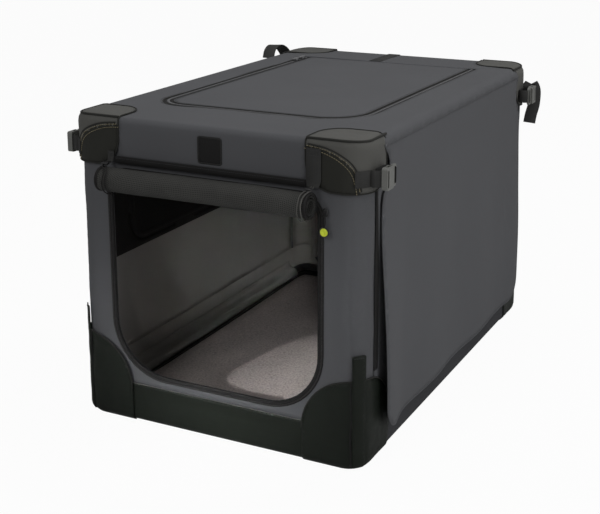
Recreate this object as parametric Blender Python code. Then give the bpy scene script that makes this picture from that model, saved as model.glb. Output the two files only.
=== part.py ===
"""Soft folding dog crate: a folding steel tube frame inside a sewn cloth cover.

A base ring and a top ring carry the cover. Two U-shaped end frames turn in clips on the base
ring, stand up to hold the top ring, and lock there with sprung buttons. The rear end frame is
the narrower one, so it lies inside the front one when the crate is folded.

X is the width, Y the length with the doorway at -Y, and Z is up. Lengths are in metres. The
origin is the middle of the underside.
"""

import math

import bmesh
import bpy
from mathutils import Vector

# Overall size
WIDTH = 0.51
LENGTH = 0.80
HEIGHT = 0.51
CORNER_RADIUS = 0.038
EDGE_RADIUS = 0.016
GAP = 0.0003
OVERRUN = 0.004

# Cloth
PATCH_CLOTH = 0.0014
WALL_CLOTH = 0.0035
FLOOR_BOARD = 0.003
ROOF_SKIRT = 0.020
BAND_HEIGHT = 0.067
WRAP = 0.048

# Steel frame
TUBE_RADIUS = 0.008
CLAMP_WALL = 0.0025
FRONT_POST_OFFSET = 0.040
REAR_POST_OFFSET = 0.0608
POST_SETBACK = 0.036
END_FRAME_BEND = 0.030
HINGE_RISE = 0.0205
CLIP_WIDTH = 0.024
CLIP_OFFSET = 0.115

# Lock socket and its button
SOCKET_WALL = 0.003
SOCKET_DEPTH = 0.030
SOCKET_REACH = 0.019
POST_CLEARANCE = 0.0005
CLAMP_LENGTH = 0.020
CLAMP_START = 0.004
BUTTON_RADIUS = 0.0035
BUTTON_CLEARANCE = 0.0004
BUTTON_DROP = 0.012
BUTTON_HEAD = 0.0042
BUTTON_STEM = 0.006
BUTTON_TRAVEL = 0.004

# Doorways, front and rear
DOOR_SIDE = 0.074
DOOR_SILL = 0.087
DOOR_TOP_DROP = 0.090
DOOR_LOW_RADIUS = 0.090
DOOR_HIGH_RADIUS = 0.030
BINDING_WIDTH = 0.008
BINDING_THICKNESS = 0.0022
DOOR_PLAY = 0.0006
DOOR_CLOTH = 0.0028

# Side windows and flaps
WINDOW_END = 0.150
WINDOW_LOW_SHARE = 0.5
WINDOW_TOP_DROP = 0.060
WINDOW_RADIUS = 0.040
WINDOW_OVERLAP = 0.012
WINDOW_MESH = 0.0014
FLAP_END = 0.062
FLAP_NOTCH_END = 0.098
FLAP_NOTCH_DROP = 0.090
FLAP_LOW = 0.030
FLAP_TOP_DROP = 0.016
FLAP_LOW_RADIUS = 0.028
FLAP_CLOTH = 0.0026
FLAP_WAVE = 0.003
FLAP_WAVES = 3
FLAP_SEAM = 0.010

# Roof hatch
HATCH_SIDE = 0.077
HATCH_FRONT_END = 0.134
HATCH_REAR_END = 0.114
HATCH_RADIUS = 0.058
HATCH_REAR_RADIUS = 0.004
HATCH_PLAY = 0.0006
HATCH_TIE_X = -0.028
HATCH_TIE_WIDTH = 0.022
HATCH_TIE_END = 0.0091

# Corner patches, as half sizes from the corner that they cover
TOP_PATCH_X = 0.093
TOP_PATCH_Y = 0.078
TOP_PATCH_Z = 0.078
TOP_PATCH_RADIUS = 0.045
BASE_PATCH_X = 0.101
BASE_PATCH_Y = 0.098
BASE_PATCH_Z = 0.146
BASE_PATCH_RADIUS = 0.088

# Rolled door, its ties and the strip above it
ROLL_DIAMETER = 0.042
ROLL_CLOTH = 0.0028
ROLL_TURNS = 2.6
ROLL_DROP = 0.0955
STORM_DROP = 0.063
STORM_WIDTH = 0.0105
STORM_THICKNESS = 0.0024
TIE_WIDTH = 0.024
TIE_TAB_WIDTH = 0.012
TIE_TAB_RISE = 0.008
TIE_CORD_WIDTH = 0.005
TIE_CLOTH = 0.0014
TIE_TOP_DROP = 0.014
TIE_INSET = 0.005
TIE_LOOP_DEGREES = 210

# Corner straps with side-release buckles
WEBBING_WIDTH = 0.025
WEBBING = 0.0014
STRAP_DROP = 0.056
STRAP_START_DEGREES = -56
STRAP_LEAVE_DEGREES = -14
TAIL_NARROWING = 0.0008
TAIL_END = 0.068
BUCKLE_STANDOFF = 0.020
BUCKLE_HALF_HEIGHT = 0.0165
BUCKLE_THICKNESS = 0.009
BUCKLE_PARTING = 0.048
SOCKET_HALF_LENGTH = 0.024
PLUG_LENGTH = 0.0145
BUCKLE_WALL = 0.0026
BUCKLE_PLAY = 0.0004
BUCKLE_SLOT = 0.0042
BUCKLE_BAR = 0.0024
BUCKLE_CORNER = 0.003
PRONG_LENGTH = 0.0145
PRONG_WIDTH = 0.0038
PRONG_BARB = 0.0016
PRONG_BARB_LENGTH = 0.006
GUIDE_WIDTH = 0.005
BUCKLE_WINDOW = 0.0085

# Zip sliders and the pull tag
SLIDER_LENGTH = 0.013
SLIDER_WIDTH = 0.009
SLIDER_HEIGHT = 0.0042
SLIDER_WAIST_SHARE = 0.6
FRONT_SLIDER_DROP = 0.108
TAG_RADIUS = 0.0078
TAG_THICKNESS = 0.0022
TAG_DROP = 0.030
TAG_CORD = 0.0018
HATCH_SLIDER_DROP = 0.048
HATCH_SLIDER_STEP = 0.028
PULL_LENGTH = 0.016
PULL_WIDTH = 0.006
PULL_THICKNESS = 0.0016
PULL_DROP = 0.0018

# Fleece mat
MAT_SIDE_GAP = 0.002
MAT_END_GAP = 0.006
MAT_EDGE = 0.011
MAT_CROWN = 0.0095
MAT_DRAW_IN = 0.004
MAT_CORNER_RADIUS = 0.03
MAT_FULLNESS = 6
MAT_ROWS = 18
MAT_COLUMNS = 12

# Facet counts
ARC_STEPS = 6
EDGE_STEPS = 3
TUBE_SIDES = 12
BORE_SIDES = 16
ROLL_STEPS_PER_TURN = 20
SHARP_ANGLE = math.radians(32)
MERGE_DISTANCE = 0.0001
ROUND_PROFILE_SHARE = 0.5

# Worked out from the sizes above
HALF_WIDTH = WIDTH / 2
HALF_LENGTH = LENGTH / 2
SKIN = PATCH_CLOTH + GAP
LINING = SKIN + WALL_CLOTH
CLAMP_RADIUS = TUBE_RADIUS + GAP + CLAMP_WALL
RING_INSET = LINING + GAP + CLAMP_RADIUS
RING_X = HALF_WIDTH - RING_INSET
RING_Y = HALF_LENGTH - RING_INSET
FLOOR_LEVEL = WALL_CLOTH + GAP + FLOOR_BOARD + GAP
BASE_RING_Z = FLOOR_LEVEL + CLAMP_RADIUS
TOP_RING_Z = HEIGHT - RING_INSET
POST_Y = HALF_LENGTH - POST_SETBACK
FRONT_POST_X = HALF_WIDTH - FRONT_POST_OFFSET
REAR_POST_X = HALF_WIDTH - REAR_POST_OFFSET
HINGE_Z = BASE_RING_Z + HINGE_RISE
SOCKET_TOP = TOP_RING_Z - TUBE_RADIUS - GAP
POST_TOP = SOCKET_TOP - GAP
BUTTON_Z = POST_TOP - BUTTON_DROP
WALL_LOW = BAND_HEIGHT + GAP
WALL_HIGH = HEIGHT - ROOF_SKIRT - GAP
FRONT_FACE = -HALF_LENGTH + SKIN
ROLL_Y = FRONT_FACE - GAP - BINDING_THICKNESS - GAP - ROLL_DIAMETER / 2
STRAP_Z = HEIGHT - STRAP_DROP
BUCKLE_X = HALF_WIDTH + BUCKLE_STANDOFF
PARTING_Y = -HALF_LENGTH + BUCKLE_PARTING
DOOR_HALF_WIDTH = HALF_WIDTH - DOOR_SIDE
DOOR_TOP = HEIGHT - DOOR_TOP_DROP
WINDOW_HALF_LENGTH = HALF_LENGTH - WINDOW_END
FLAP_REACH = HALF_LENGTH - FLAP_END
FLAP_NOTCH = HALF_LENGTH - FLAP_NOTCH_END
HATCH_HALF_WIDTH = HALF_WIDTH - HATCH_SIDE
HATCH_FRONT = -HALF_LENGTH + HATCH_FRONT_END
HATCH_REAR = HALF_LENGTH - HATCH_REAR_END
HATCH_SLIDER_Y = HATCH_REAR - HATCH_SLIDER_DROP
WINDOW_LOW = HEIGHT * WINDOW_LOW_SHARE
WINDOW_HIGH = HEIGHT - WINDOW_TOP_DROP
FLAP_NOTCH_LOW = HEIGHT - FLAP_NOTCH_DROP
ROLL_HEIGHT = HEIGHT - ROLL_DROP
STORM_HIGH = HEIGHT - STORM_DROP
STORM_LOW = STORM_HIGH - STORM_WIDTH
FRONT_SLIDER_Z = HEIGHT - FRONT_SLIDER_DROP

FINISHES = {
    "cover_cloth": ((0.080, 0.082, 0.086), 0.82, 0.0),
    "front_cloth": ((0.047, 0.049, 0.053), 0.82, 0.0),
    "corner_cloth": ((0.015, 0.015, 0.014), 0.70, 0.0),
    "band_cloth": ((0.011, 0.013, 0.013), 0.75, 0.0),
    "floor_board": ((0.020, 0.020, 0.021), 0.70, 0.0),
    "lining_mesh": ((0.012, 0.012, 0.011), 0.85, 0.0),
    "door_mesh": ((0.018, 0.018, 0.017), 0.80, 0.0),
    "webbing": ((0.013, 0.013, 0.013), 0.65, 0.0),
    "buckle_plastic": ((0.030, 0.030, 0.028), 0.42, 0.0),
    "frame_steel": ((0.055, 0.056, 0.058), 0.38, 0.7),
    "socket_plastic": ((0.020, 0.020, 0.021), 0.45, 0.0),
    "button_steel": ((0.55, 0.55, 0.56), 0.30, 0.9),
    "zip_metal": ((0.020, 0.020, 0.020), 0.40, 0.5),
    "tag_rubber": ((0.62, 0.70, 0.04), 0.50, 0.0),
    "mat_fleece": ((0.245, 0.205, 0.188), 0.95, 0.0),
}

AXES = {
    "X": lambda u, v, w: (w, u, v),
    "Y": lambda u, v, w: (u, w, v),
    "Z": lambda u, v, w: (u, v, w),
}


def clear_scene():
    for obj in list(bpy.data.objects):
        bpy.data.objects.remove(obj, do_unlink=True)


def finish(slot):
    """The material of a finish, made once."""
    found = bpy.data.materials.get(slot)
    if found:
        return found
    colour, roughness, metallic = FINISHES[slot]
    made = bpy.data.materials.new(slot)
    made.use_nodes = True
    shader = made.node_tree.nodes["Principled BSDF"]
    shader.inputs["Base Color"].default_value = (*colour, 1.0)
    shader.inputs["Roughness"].default_value = roughness
    shader.inputs["Metallic"].default_value = metallic
    return made


def add(name, bm, slot, origin=(0, 0, 0), flip=(1, 1)):
    """One named object from a bmesh in world places, mirrored by flip, with its own origin."""
    bmesh.ops.scale(bm, vec=(*flip, 1), verts=bm.verts)
    bmesh.ops.recalc_face_normals(bm, faces=bm.faces)
    place = Vector((origin[0] * flip[0], origin[1] * flip[1], origin[2]))
    bmesh.ops.translate(bm, verts=bm.verts, vec=-place)
    mesh = bpy.data.meshes.new(name)
    bm.to_mesh(mesh)
    bm.free()
    mesh.shade_smooth()
    mesh.set_sharp_from_angle(angle=SHARP_ANGLE)
    mesh.materials.append(finish(slot))
    obj = bpy.data.objects.new(name, mesh)
    bpy.context.scene.collection.objects.link(obj)
    obj.location = place
    return obj


def combine(obj, bm, operation, flip=(1, 1)):
    """Cuts, joins or keeps the shape of a helper, which stays out of renders."""
    slot = obj.data.materials[0].name
    helper = add(f"{obj.name}_{operation.lower()}_{len(obj.modifiers)}", bm, slot, flip=flip)
    helper.hide_render = True
    helper.display_type = "WIRE"
    modifier = obj.modifiers.new(operation.title(), "BOOLEAN")
    modifier.operation = operation
    modifier.object = helper


def arc(centre, radius, start, end, steps=ARC_STEPS):
    """Points along an arc between two angles in degrees."""
    angles = [math.radians(start + (end - start) * k / steps) for k in range(steps + 1)]
    return [(centre[0] + radius * math.cos(a), centre[1] + radius * math.sin(a)) for a in angles]


def rounded(left, right, low, high, low_radius, high_radius=None, steps=ARC_STEPS):
    """A rounded rectangle, anticlockwise from its lower left corner."""
    top = low_radius if high_radius is None else high_radius
    return (
        arc((left + low_radius, low + low_radius), low_radius, 180, 270, steps)
        + arc((right - low_radius, low + low_radius), low_radius, 270, 360, steps)
        + arc((right - top, high - top), top, 0, 90, steps)
        + arc((left + top, high - top), top, 90, 180, steps)
    )


def plan(inset):
    """The crate's outline from above, drawn in by an inset."""
    x, y = HALF_WIDTH - inset, HALF_LENGTH - inset
    return rounded(-x, x, -y, y, CORNER_RADIUS - inset)


def loft(loops, closed=False):
    """A closed body through loops of as many points each, capped unless it closes on itself."""
    bm = bmesh.new()
    rings = [[bm.verts.new(p) for p in loop] for loop in loops]
    count = len(rings[0])
    pairs = list(zip(rings, rings[1:] + rings[:1] if closed else rings[1:]))
    for a, b in pairs:
        for k in range(count):
            n = (k + 1) % count
            bm.faces.new((a[k], a[n], b[n], b[k]))
    if not closed:
        bm.faces.new(rings[0][::-1])
        bm.faces.new(rings[-1])
    return bm


def prism(outline, low, high, axis="Z"):
    """An outline drawn straight along an axis."""
    place = AXES[axis]
    return loft([[place(u, v, w) for u, v in outline] for w in (low, high)])


def ring_prism(inner, outer, low, high, axis="Z"):
    """The band between two outlines of as many points each."""
    place = AXES[axis]
    corners = ((outer, low), (outer, high), (inner, high), (inner, low))
    return loft([[place(u, v, w) for u, v in line] for line, w in corners], closed=True)


def box(low, high):
    """A plain block between two corners."""
    outline = [(low[0], low[1]), (high[0], low[1]), (high[0], high[1]), (low[0], high[1])]
    return prism(outline, low[2], high[2])


def directions(path, closed):
    """The unit direction of a path at each of its points."""
    points = [Vector(p) for p in path]
    found = []
    for k, point in enumerate(points):
        before = points[k - 1] if closed or k else point
        after = points[(k + 1) % len(points)] if closed or k < len(points) - 1 else point
        into = (point - before).normalized() if before != point else Vector()
        out = (after - point).normalized() if after != point else Vector()
        found.append((into + out).normalized())
    return found


def tube(path, radius, across, closed=False, sides=TUBE_SIDES):
    """A round bar along a flat path, with across square to the path's plane."""
    across = Vector(across)
    loops = []
    for point, along in zip(path, directions(path, closed)):
        side = along.cross(across)
        loops.append(
            [
                Vector(point) + radius * (math.cos(a) * side + math.sin(a) * across)
                for a in (math.tau * k / sides for k in range(sides))
            ]
        )
    return loft(loops, closed)


def ribbon(path, widths, thickness, across):
    """Flat webbing along a path, with its width along across."""
    across = Vector(across)
    loops = []
    for point, along, width in zip(path, directions(path, False), widths):
        side = along.cross(across).normalized() * thickness / 2
        reach = across * width / 2
        signs = ((1, 1), (-1, 1), (-1, -1), (1, -1))
        loops.append([Vector(point) + i * side + j * reach for i, j in signs])
    return loft(loops)


def disc(centre, radius, low, high, axis, sides=BORE_SIDES):
    """A round bar along an axis, between two places on it."""
    turn = [math.tau * k / sides for k in range(sides)]
    outline = [(centre[0] + radius * math.cos(a), centre[1] + radius * math.sin(a)) for a in turn]
    return prism(outline, low, high, axis)


def bore_radius(radius):
    """The radius of a faceted bore whose flats stay a gap outside a round bar."""
    return (radius + GAP) / math.cos(math.pi / BORE_SIDES)


def rounded_box(centre, half, radius):
    """A block with all its edges rounded."""
    low = [c - h for c, h in zip(centre, half)]
    high = [c + h for c, h in zip(centre, half)]
    bm = box(low, high)
    bmesh.ops.bevel(
        bm, geom=bm.edges[:], offset=radius, segments=ARC_STEPS, profile=ROUND_PROFILE_SHARE, affect="EDGES"
    )
    return bm


def cover_shell(outer_inset, inner_inset, depth, level):
    """A closed end of the cover as a shell between two insets, open at a depth from it.

    The level gives the height of a place from its distance to the end.
    """

    def edge(inset):
        turns = arc((EDGE_RADIUS, EDGE_RADIUS), EDGE_RADIUS - inset, 270, 180, EDGE_STEPS)
        return [(across, down) for across, down in turns]

    outside = edge(outer_inset) + [(outer_inset, depth)]
    inside = [(inner_inset, depth)] + edge(inner_inset)[::-1]
    return loft([[(x, y, level(down)) for x, y in plan(inset)] for inset, down in outside + inside])


def from_top(distance):
    """The height of a place at a distance below the top of the cover."""
    return HEIGHT - distance


def from_underside(distance):
    """The height of a place at a distance above the corner patches' lowest plane."""
    return distance - SKIN


def wrap_outline(outer_inset, inner_inset, wrap):
    """The front wall from above: along the front and round both corners."""

    def path(inset):
        x, y = HALF_WIDTH - inset, HALF_LENGTH - inset
        bend = CORNER_RADIUS - inset
        left = arc((-x + bend, -y + bend), bend, 180, 270)
        right = arc((x - bend, -y + bend), bend, 270, 360)
        end = -HALF_LENGTH + wrap
        return [(-x, end)] + left + right + [(x, end)]

    return path(outer_inset) + path(inner_inset)[::-1]


def doorway(spread=0.0):
    """The outline of both doorways, grown by a spread."""
    return rounded(
        -DOOR_HALF_WIDTH - spread,
        DOOR_HALF_WIDTH + spread,
        DOOR_SILL - spread,
        DOOR_TOP + spread,
        DOOR_LOW_RADIUS + spread,
        DOOR_HIGH_RADIUS + spread,
    )


def window(spread=0.0):
    """The outline of the side windows, grown by a spread."""
    return rounded(
        -WINDOW_HALF_LENGTH - spread,
        WINDOW_HALF_LENGTH + spread,
        WINDOW_LOW - spread,
        WINDOW_HIGH + spread,
        WINDOW_RADIUS + spread,
    )


def make_base():
    """Coated tray, floor board, base ring and the clips that the end frames turn in."""
    tray = cover_shell(SKIN, LINING, BAND_HEIGHT + SKIN, from_underside)
    add("base_tray", tray, "band_cloth")
    low = WALL_CLOTH + GAP
    add("floor_board", prism(plan(EDGE_RADIUS + GAP), low, low + FLOOR_BOARD), "floor_board")
    path = [(x, y, BASE_RING_Z) for x, y in plan(RING_INSET)]
    add("base_frame", tube(path, TUBE_RADIUS, (0, 0, 1), closed=True), "frame_steel")
    for end, sign in (("front", 1), ("rear", -1)):
        for side, half in (("left", -1), ("right", 1)):
            make_hinge_clip(f"{end}_{side}_hinge_clip", (half, sign))


def make_hinge_clip(name, flip):
    """A moulded clip with one bore round the base ring and one round the end frame's bar."""
    ring, bar = (-RING_Y, BASE_RING_Z), (-POST_Y, HINGE_Z)
    lean = math.degrees(math.atan2(bar[1] - ring[1], bar[0] - ring[0]))
    outline = arc(ring, CLAMP_RADIUS, lean + 90, lean + 270)
    outline += arc(bar, CLAMP_RADIUS, lean - 90, lean + 90)
    low, high = CLIP_OFFSET - CLIP_WIDTH / 2, CLIP_OFFSET + CLIP_WIDTH / 2
    clip = add(name, prism(outline, low, high, "X"), "socket_plastic", flip=flip)
    for centre in (ring, bar):
        cutter = disc(centre, bore_radius(TUBE_RADIUS), low - OVERRUN, high + OVERRUN, "X")
        combine(clip, cutter, "DIFFERENCE", flip)


def make_mat():
    """The fleece mat: a low cushion with a crown and sides drawn in between its corners."""
    half_x = RING_X - CLAMP_RADIUS - MAT_SIDE_GAP
    half_y = POST_Y - CLAMP_RADIUS - MAT_END_GAP
    low = FLOOR_LEVEL

    def place(column, row, top):
        u = -1 + 2 * column / MAT_COLUMNS
        v = -1 + 2 * row / MAT_ROWS
        x = u * (half_x - MAT_DRAW_IN * (1 - v * v))
        y = v * (half_y - MAT_DRAW_IN * (1 - u * u))
        swell = (1 - u**MAT_FULLNESS) * (1 - v**MAT_FULLNESS)
        x, y = round_corner(x, y, half_x, half_y)
        rise = (MAT_EDGE / 2 + MAT_CROWN) * math.sqrt(swell)
        sink = MAT_EDGE / 2 * (1 - (1 - swell) ** 4)
        return (x, y, low + MAT_EDGE / 2 + (rise if top else -sink))

    bm = bmesh.new()
    grid = {
        (column, row, top): bm.verts.new(place(column, row, top))
        for top in (True, False)
        for row in range(MAT_ROWS + 1)
        for column in range(MAT_COLUMNS + 1)
    }
    for top in (True, False):
        for row in range(MAT_ROWS):
            for column in range(MAT_COLUMNS):
                around = ((0, 0), (1, 0), (1, 1), (0, 1))
                bm.faces.new([grid[column + i, row + j, top] for i, j in around])
    bmesh.ops.remove_doubles(bm, verts=bm.verts, dist=MERGE_DISTANCE)
    add("fleece_mat", bm, "mat_fleece")


def round_corner(x, y, half_x, half_y):
    """Draws a point of the mat's corner back onto the corner's rounding."""
    centre_x, centre_y = half_x - MAT_CORNER_RADIUS, half_y - MAT_CORNER_RADIUS
    over_x, over_y = abs(x) - centre_x, abs(y) - centre_y
    if over_x <= 0 or over_y <= 0:
        return x, y
    share = max(over_x, over_y) / math.hypot(over_x, over_y)
    new_x, new_y = centre_x + over_x * share, centre_y + over_y * share
    return math.copysign(new_x, x), math.copysign(new_y, y)


def make_walls():
    """The four cloth walls between the base band and the roof, with doorways and windows."""
    reach = HALF_LENGTH + OVERRUN
    for name, sign in (("front_wall", 1), ("rear_wall", -1)):
        outline = wrap_outline(SKIN, LINING, WRAP)
        wall = add(name, prism(outline, WALL_LOW, WALL_HIGH), "front_cloth", flip=(1, sign))
        inner = -HALF_LENGTH + LINING + OVERRUN
        combine(wall, prism(doorway(), -reach, inner, "Y"), "DIFFERENCE", flip=(1, sign))
    side_end = HALF_LENGTH - WRAP - GAP
    for name, sign in (("left_wall", -1), ("right_wall", 1)):
        low, high = HALF_WIDTH - LINING, HALF_WIDTH - SKIN
        sheet = box((low, -side_end, WALL_LOW), (high, side_end, WALL_HIGH))
        wall = add(name, sheet, "cover_cloth", flip=(sign, 1))
        hole = prism(window(), low - OVERRUN, high + OVERRUN, "X")
        combine(wall, hole, "DIFFERENCE", flip=(sign, 1))
    for name, sign in (("left_mesh_window", -1), ("right_mesh_window", 1)):
        high = HALF_WIDTH - LINING - GAP
        mesh = prism(window(WINDOW_OVERLAP), high - WINDOW_MESH, high, "X")
        add(name, mesh, "lining_mesh", flip=(sign, 1))


def make_doors():
    """The binding of the front doorway, and the rear door on its hinge line."""
    low = FRONT_FACE - GAP - BINDING_THICKNESS
    bm = ring_prism(doorway(), doorway(BINDING_WIDTH), low, FRONT_FACE - GAP, "Y")
    add("front_door_binding", bm, "webbing")
    outer = HALF_LENGTH - SKIN
    panel = prism(doorway(-DOOR_PLAY), outer - DOOR_CLOTH, outer, "Y")
    add("rear_door", panel, "front_cloth", origin=(0, outer, DOOR_TOP))


def make_corner_patches():
    """Reinforcing patches over the eight corners of the cover."""
    top_half = (TOP_PATCH_X, TOP_PATCH_Y, TOP_PATCH_Z)
    base_half = (BASE_PATCH_X, BASE_PATCH_Y, BASE_PATCH_Z)
    for end, sign in (("front", 1), ("rear", -1)):
        for side, half in (("left", -1), ("right", 1)):
            flip = (half, sign)
            shell = cover_shell(0, PATCH_CLOTH, TOP_PATCH_Z + OVERRUN, from_top)
            patch = add(f"{end}_{side}_top_corner", shell, "corner_cloth")
            corner = (HALF_WIDTH, -HALF_LENGTH, HEIGHT)
            combine(patch, rounded_box(corner, top_half, TOP_PATCH_RADIUS), "INTERSECT", flip)
            shell = cover_shell(0, PATCH_CLOTH, BASE_PATCH_Z + SKIN + OVERRUN, from_underside)
            patch = add(f"{end}_{side}_base_corner", shell, "corner_cloth")
            corner = (HALF_WIDTH, -HALF_LENGTH, 0)
            combine(patch, rounded_box(corner, base_half, BASE_PATCH_RADIUS), "INTERSECT", flip)
            above_floor = box((-WIDTH, -LENGTH, GAP), (WIDTH, LENGTH, HEIGHT))
            combine(patch, above_floor, "INTERSECT", flip)


def end_frame_path(post_x):
    """A U in the XZ plane, from one post's top down, along the hinge bar and up again."""
    low = HINGE_Z + END_FRAME_BEND
    left = arc((-post_x + END_FRAME_BEND, low), END_FRAME_BEND, 180, 270)
    right = arc((post_x - END_FRAME_BEND, low), END_FRAME_BEND, 270, 360)
    flat = [(-post_x, POST_TOP)] + left + right + [(post_x, POST_TOP)]
    return [(x, -POST_Y, z) for x, z in flat]


def make_end_frames():
    """The two U-shaped end frames with a lock button near the top of each post."""
    for end, sign, post_x in (("front", 1, FRONT_POST_X), ("rear", -1, REAR_POST_X)):
        bm = tube(end_frame_path(post_x), TUBE_RADIUS, (0, 1, 0))
        origin = (0, -POST_Y, HINGE_Z)
        frame = add(f"{end}_end_frame", bm, "frame_steel", origin=origin, flip=(1, sign))
        centre = (-POST_Y, BUTTON_Z)
        face = post_x - TUBE_RADIUS
        seat = face + BUTTON_STEM
        bottom = seat + BUTTON_TRAVEL + BUTTON_CLEARANCE
        for side, half in (("left", -1), ("right", 1)):
            pocket = disc(centre, BUTTON_RADIUS + BUTTON_CLEARANCE, face - OVERRUN, bottom, "X")
            combine(frame, pocket, "DIFFERENCE", (half, sign))
            button = disc(centre, BUTTON_RADIUS, face - BUTTON_HEAD, seat, "X")
            name = f"{end}_{side}_lock_button"
            add(name, button, "button_steel", origin=(face, *centre), flip=(half, sign))


def make_top_frame():
    """The top ring and the four sockets that the posts swing into."""
    path = [(x, y, TOP_RING_Z) for x, y in plan(RING_INSET)]
    add("top_frame", tube(path, TUBE_RADIUS, (0, 0, 1), closed=True), "frame_steel")
    for end, sign, post_x in (("front", 1, FRONT_POST_X), ("rear", -1, REAR_POST_X)):
        for side, half in (("left", -1), ("right", 1)):
            make_lock_socket(f"{end}_{side}_lock_socket", post_x, (half, sign))


def make_lock_socket(name, post_x, flip):
    """A channel open towards the inside, on a clamp round the top ring's side bar."""
    bay = TUBE_RADIUS + POST_CLEARANCE
    low = SOCKET_TOP - SOCKET_DEPTH
    back = -POST_Y - bay - SOCKET_WALL
    clamp_low = -HALF_LENGTH + CORNER_RADIUS + CLAMP_START
    clamp_high = clamp_low + CLAMP_LENGTH
    outline = [
        (post_x - bay - SOCKET_WALL, back),
        (post_x + bay + SOCKET_WALL, back),
        (post_x + bay + SOCKET_WALL, clamp_high),
        (post_x + bay, clamp_high),
        (post_x + bay, back + SOCKET_WALL),
        (post_x - bay, back + SOCKET_WALL),
        (post_x - bay, back + SOCKET_REACH),
        (post_x - bay - SOCKET_WALL, back + SOCKET_REACH),
    ]
    socket = add(name, prism(outline, low, SOCKET_TOP), "socket_plastic", flip=flip)
    bar = (RING_X, TOP_RING_Z)
    clamp = disc(bar, CLAMP_RADIUS, clamp_low, clamp_high - GAP, "Y")
    combine(socket, clamp, "UNION", flip)
    web_top = TOP_RING_Z - TUBE_RADIUS / 2
    web = box(
        (post_x + bay + GAP, clamp_low + GAP, low + SOCKET_DEPTH / 2),
        (RING_X, clamp_high - 2 * GAP, web_top),
    )
    combine(socket, web, "UNION", flip)
    bore = disc(bar, bore_radius(TUBE_RADIUS), clamp_low - OVERRUN, clamp_high + OVERRUN, "Y")
    combine(socket, bore, "DIFFERENCE", flip)
    outside = post_x - bay - SOCKET_WALL - OVERRUN
    hole = disc((-POST_Y, BUTTON_Z), BUTTON_RADIUS + BUTTON_CLEARANCE, outside, post_x, "X")
    combine(socket, hole, "DIFFERENCE", flip)


def hatch_outline(spread=0.0):
    """The roof hatch from above: large corners in front and a straight seam behind."""
    return rounded(
        -HATCH_HALF_WIDTH - spread,
        HATCH_HALF_WIDTH + spread,
        HATCH_FRONT - spread,
        HATCH_REAR + spread,
        HATCH_RADIUS + spread,
        HATCH_REAR_RADIUS + spread,
    )


def make_roof():
    """The roof cloth, its hatch, and the webbing tie behind the hatch."""
    roof = add("roof_panel", cover_shell(SKIN, LINING, ROOF_SKIRT, from_top), "cover_cloth")
    hole = prism(hatch_outline(HATCH_PLAY), HEIGHT - EDGE_RADIUS - OVERRUN, HEIGHT + OVERRUN)
    combine(roof, hole, "DIFFERENCE")
    top = HEIGHT - SKIN
    hatch = prism(hatch_outline(), top - WALL_CLOTH, top)
    add("hatch_panel", hatch, "cover_cloth", origin=(0, HATCH_REAR + HATCH_PLAY / 2, HEIGHT))
    tie_low = HATCH_REAR + HATCH_PLAY + GAP
    level = top + GAP + WEBBING / 2
    tie_high = HALF_LENGTH - HATCH_TIE_END
    path = [(HATCH_TIE_X, tie_low, level), (HATCH_TIE_X, tie_high, level)]
    tie = ribbon(path, [HATCH_TIE_WIDTH] * len(path), WEBBING, (1, 0, 0))
    add("hatch_tie", tie, "webbing")


def flap_edge(z):
    """Half the flap's length at a height: rounded feet, and notches for the buckles."""
    if z > FLAP_NOTCH_LOW:
        return FLAP_NOTCH
    lift = max(0.0, FLAP_LOW + FLAP_LOW_RADIUS - z)
    return FLAP_REACH - FLAP_LOW_RADIUS + math.sqrt(max(0.0, FLAP_LOW_RADIUS**2 - lift**2))


def make_flaps():
    """Full-height cloth flaps that hang over both side windows in shallow folds."""
    top = HEIGHT - FLAP_TOP_DROP
    turns = arc((0, FLAP_LOW + FLAP_LOW_RADIUS), FLAP_LOW_RADIUS, 270, 360, EDGE_STEPS)
    levels = [z for _, z in turns] + [
        (FLAP_LOW + FLAP_NOTCH_LOW) / 2,
        FLAP_NOTCH_LOW,
        FLAP_NOTCH_LOW + GAP,
        top,
    ]
    columns = FLAP_WAVES * 2 * ARC_STEPS
    inner = HALF_WIDTH + GAP

    def point(column, z, out):
        y = flap_edge(z) * (2 * column / columns - 1)
        hang = (top - z) / (top - FLAP_LOW)
        wave = FLAP_WAVE * hang * (1 + math.cos(math.tau * FLAP_WAVES * column / columns))
        return (inner + wave + out * FLAP_CLOTH, y, z)

    for name, sign in (("left_flap", -1), ("right_flap", 1)):
        loops = []
        for z in levels:
            outside = [point(c, z, 1) for c in range(columns + 1)]
            inside = [point(c, z, 0) for c in range(columns, -1, -1)]
            loops.append(outside + inside)
        origin = (inner + FLAP_CLOTH / 2, 0, top)
        flap = add(name, loft(loops), "cover_cloth", origin=origin, flip=(sign, 1))
        seam = box(
            (HALF_WIDTH - SKIN + GAP, -FLAP_NOTCH + OVERRUN, WALL_HIGH - FLAP_SEAM),
            (inner + FLAP_CLOTH / 2, FLAP_NOTCH - OVERRUN, WALL_HIGH - GAP),
        )
        combine(flap, seam, "UNION", (sign, 1))


def spiral_outline():
    """The end view of the rolled door: one sheet wound from the core outwards."""
    steps = int(ROLL_TURNS * ROLL_STEPS_PER_TURN)
    pitch = ROLL_CLOTH + 2 * GAP
    outside, inside = [], []
    for k in range(steps + 1):
        turn = k / ROLL_STEPS_PER_TURN
        angle = math.tau * turn
        radius = ROLL_DIAMETER / 2 - (ROLL_TURNS - turn) * pitch
        for line, r in ((outside, radius), (inside, radius - ROLL_CLOTH)):
            line.append((ROLL_Y - r * math.cos(angle), ROLL_HEIGHT + r * math.sin(angle)))
    return outside + inside[::-1]


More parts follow.
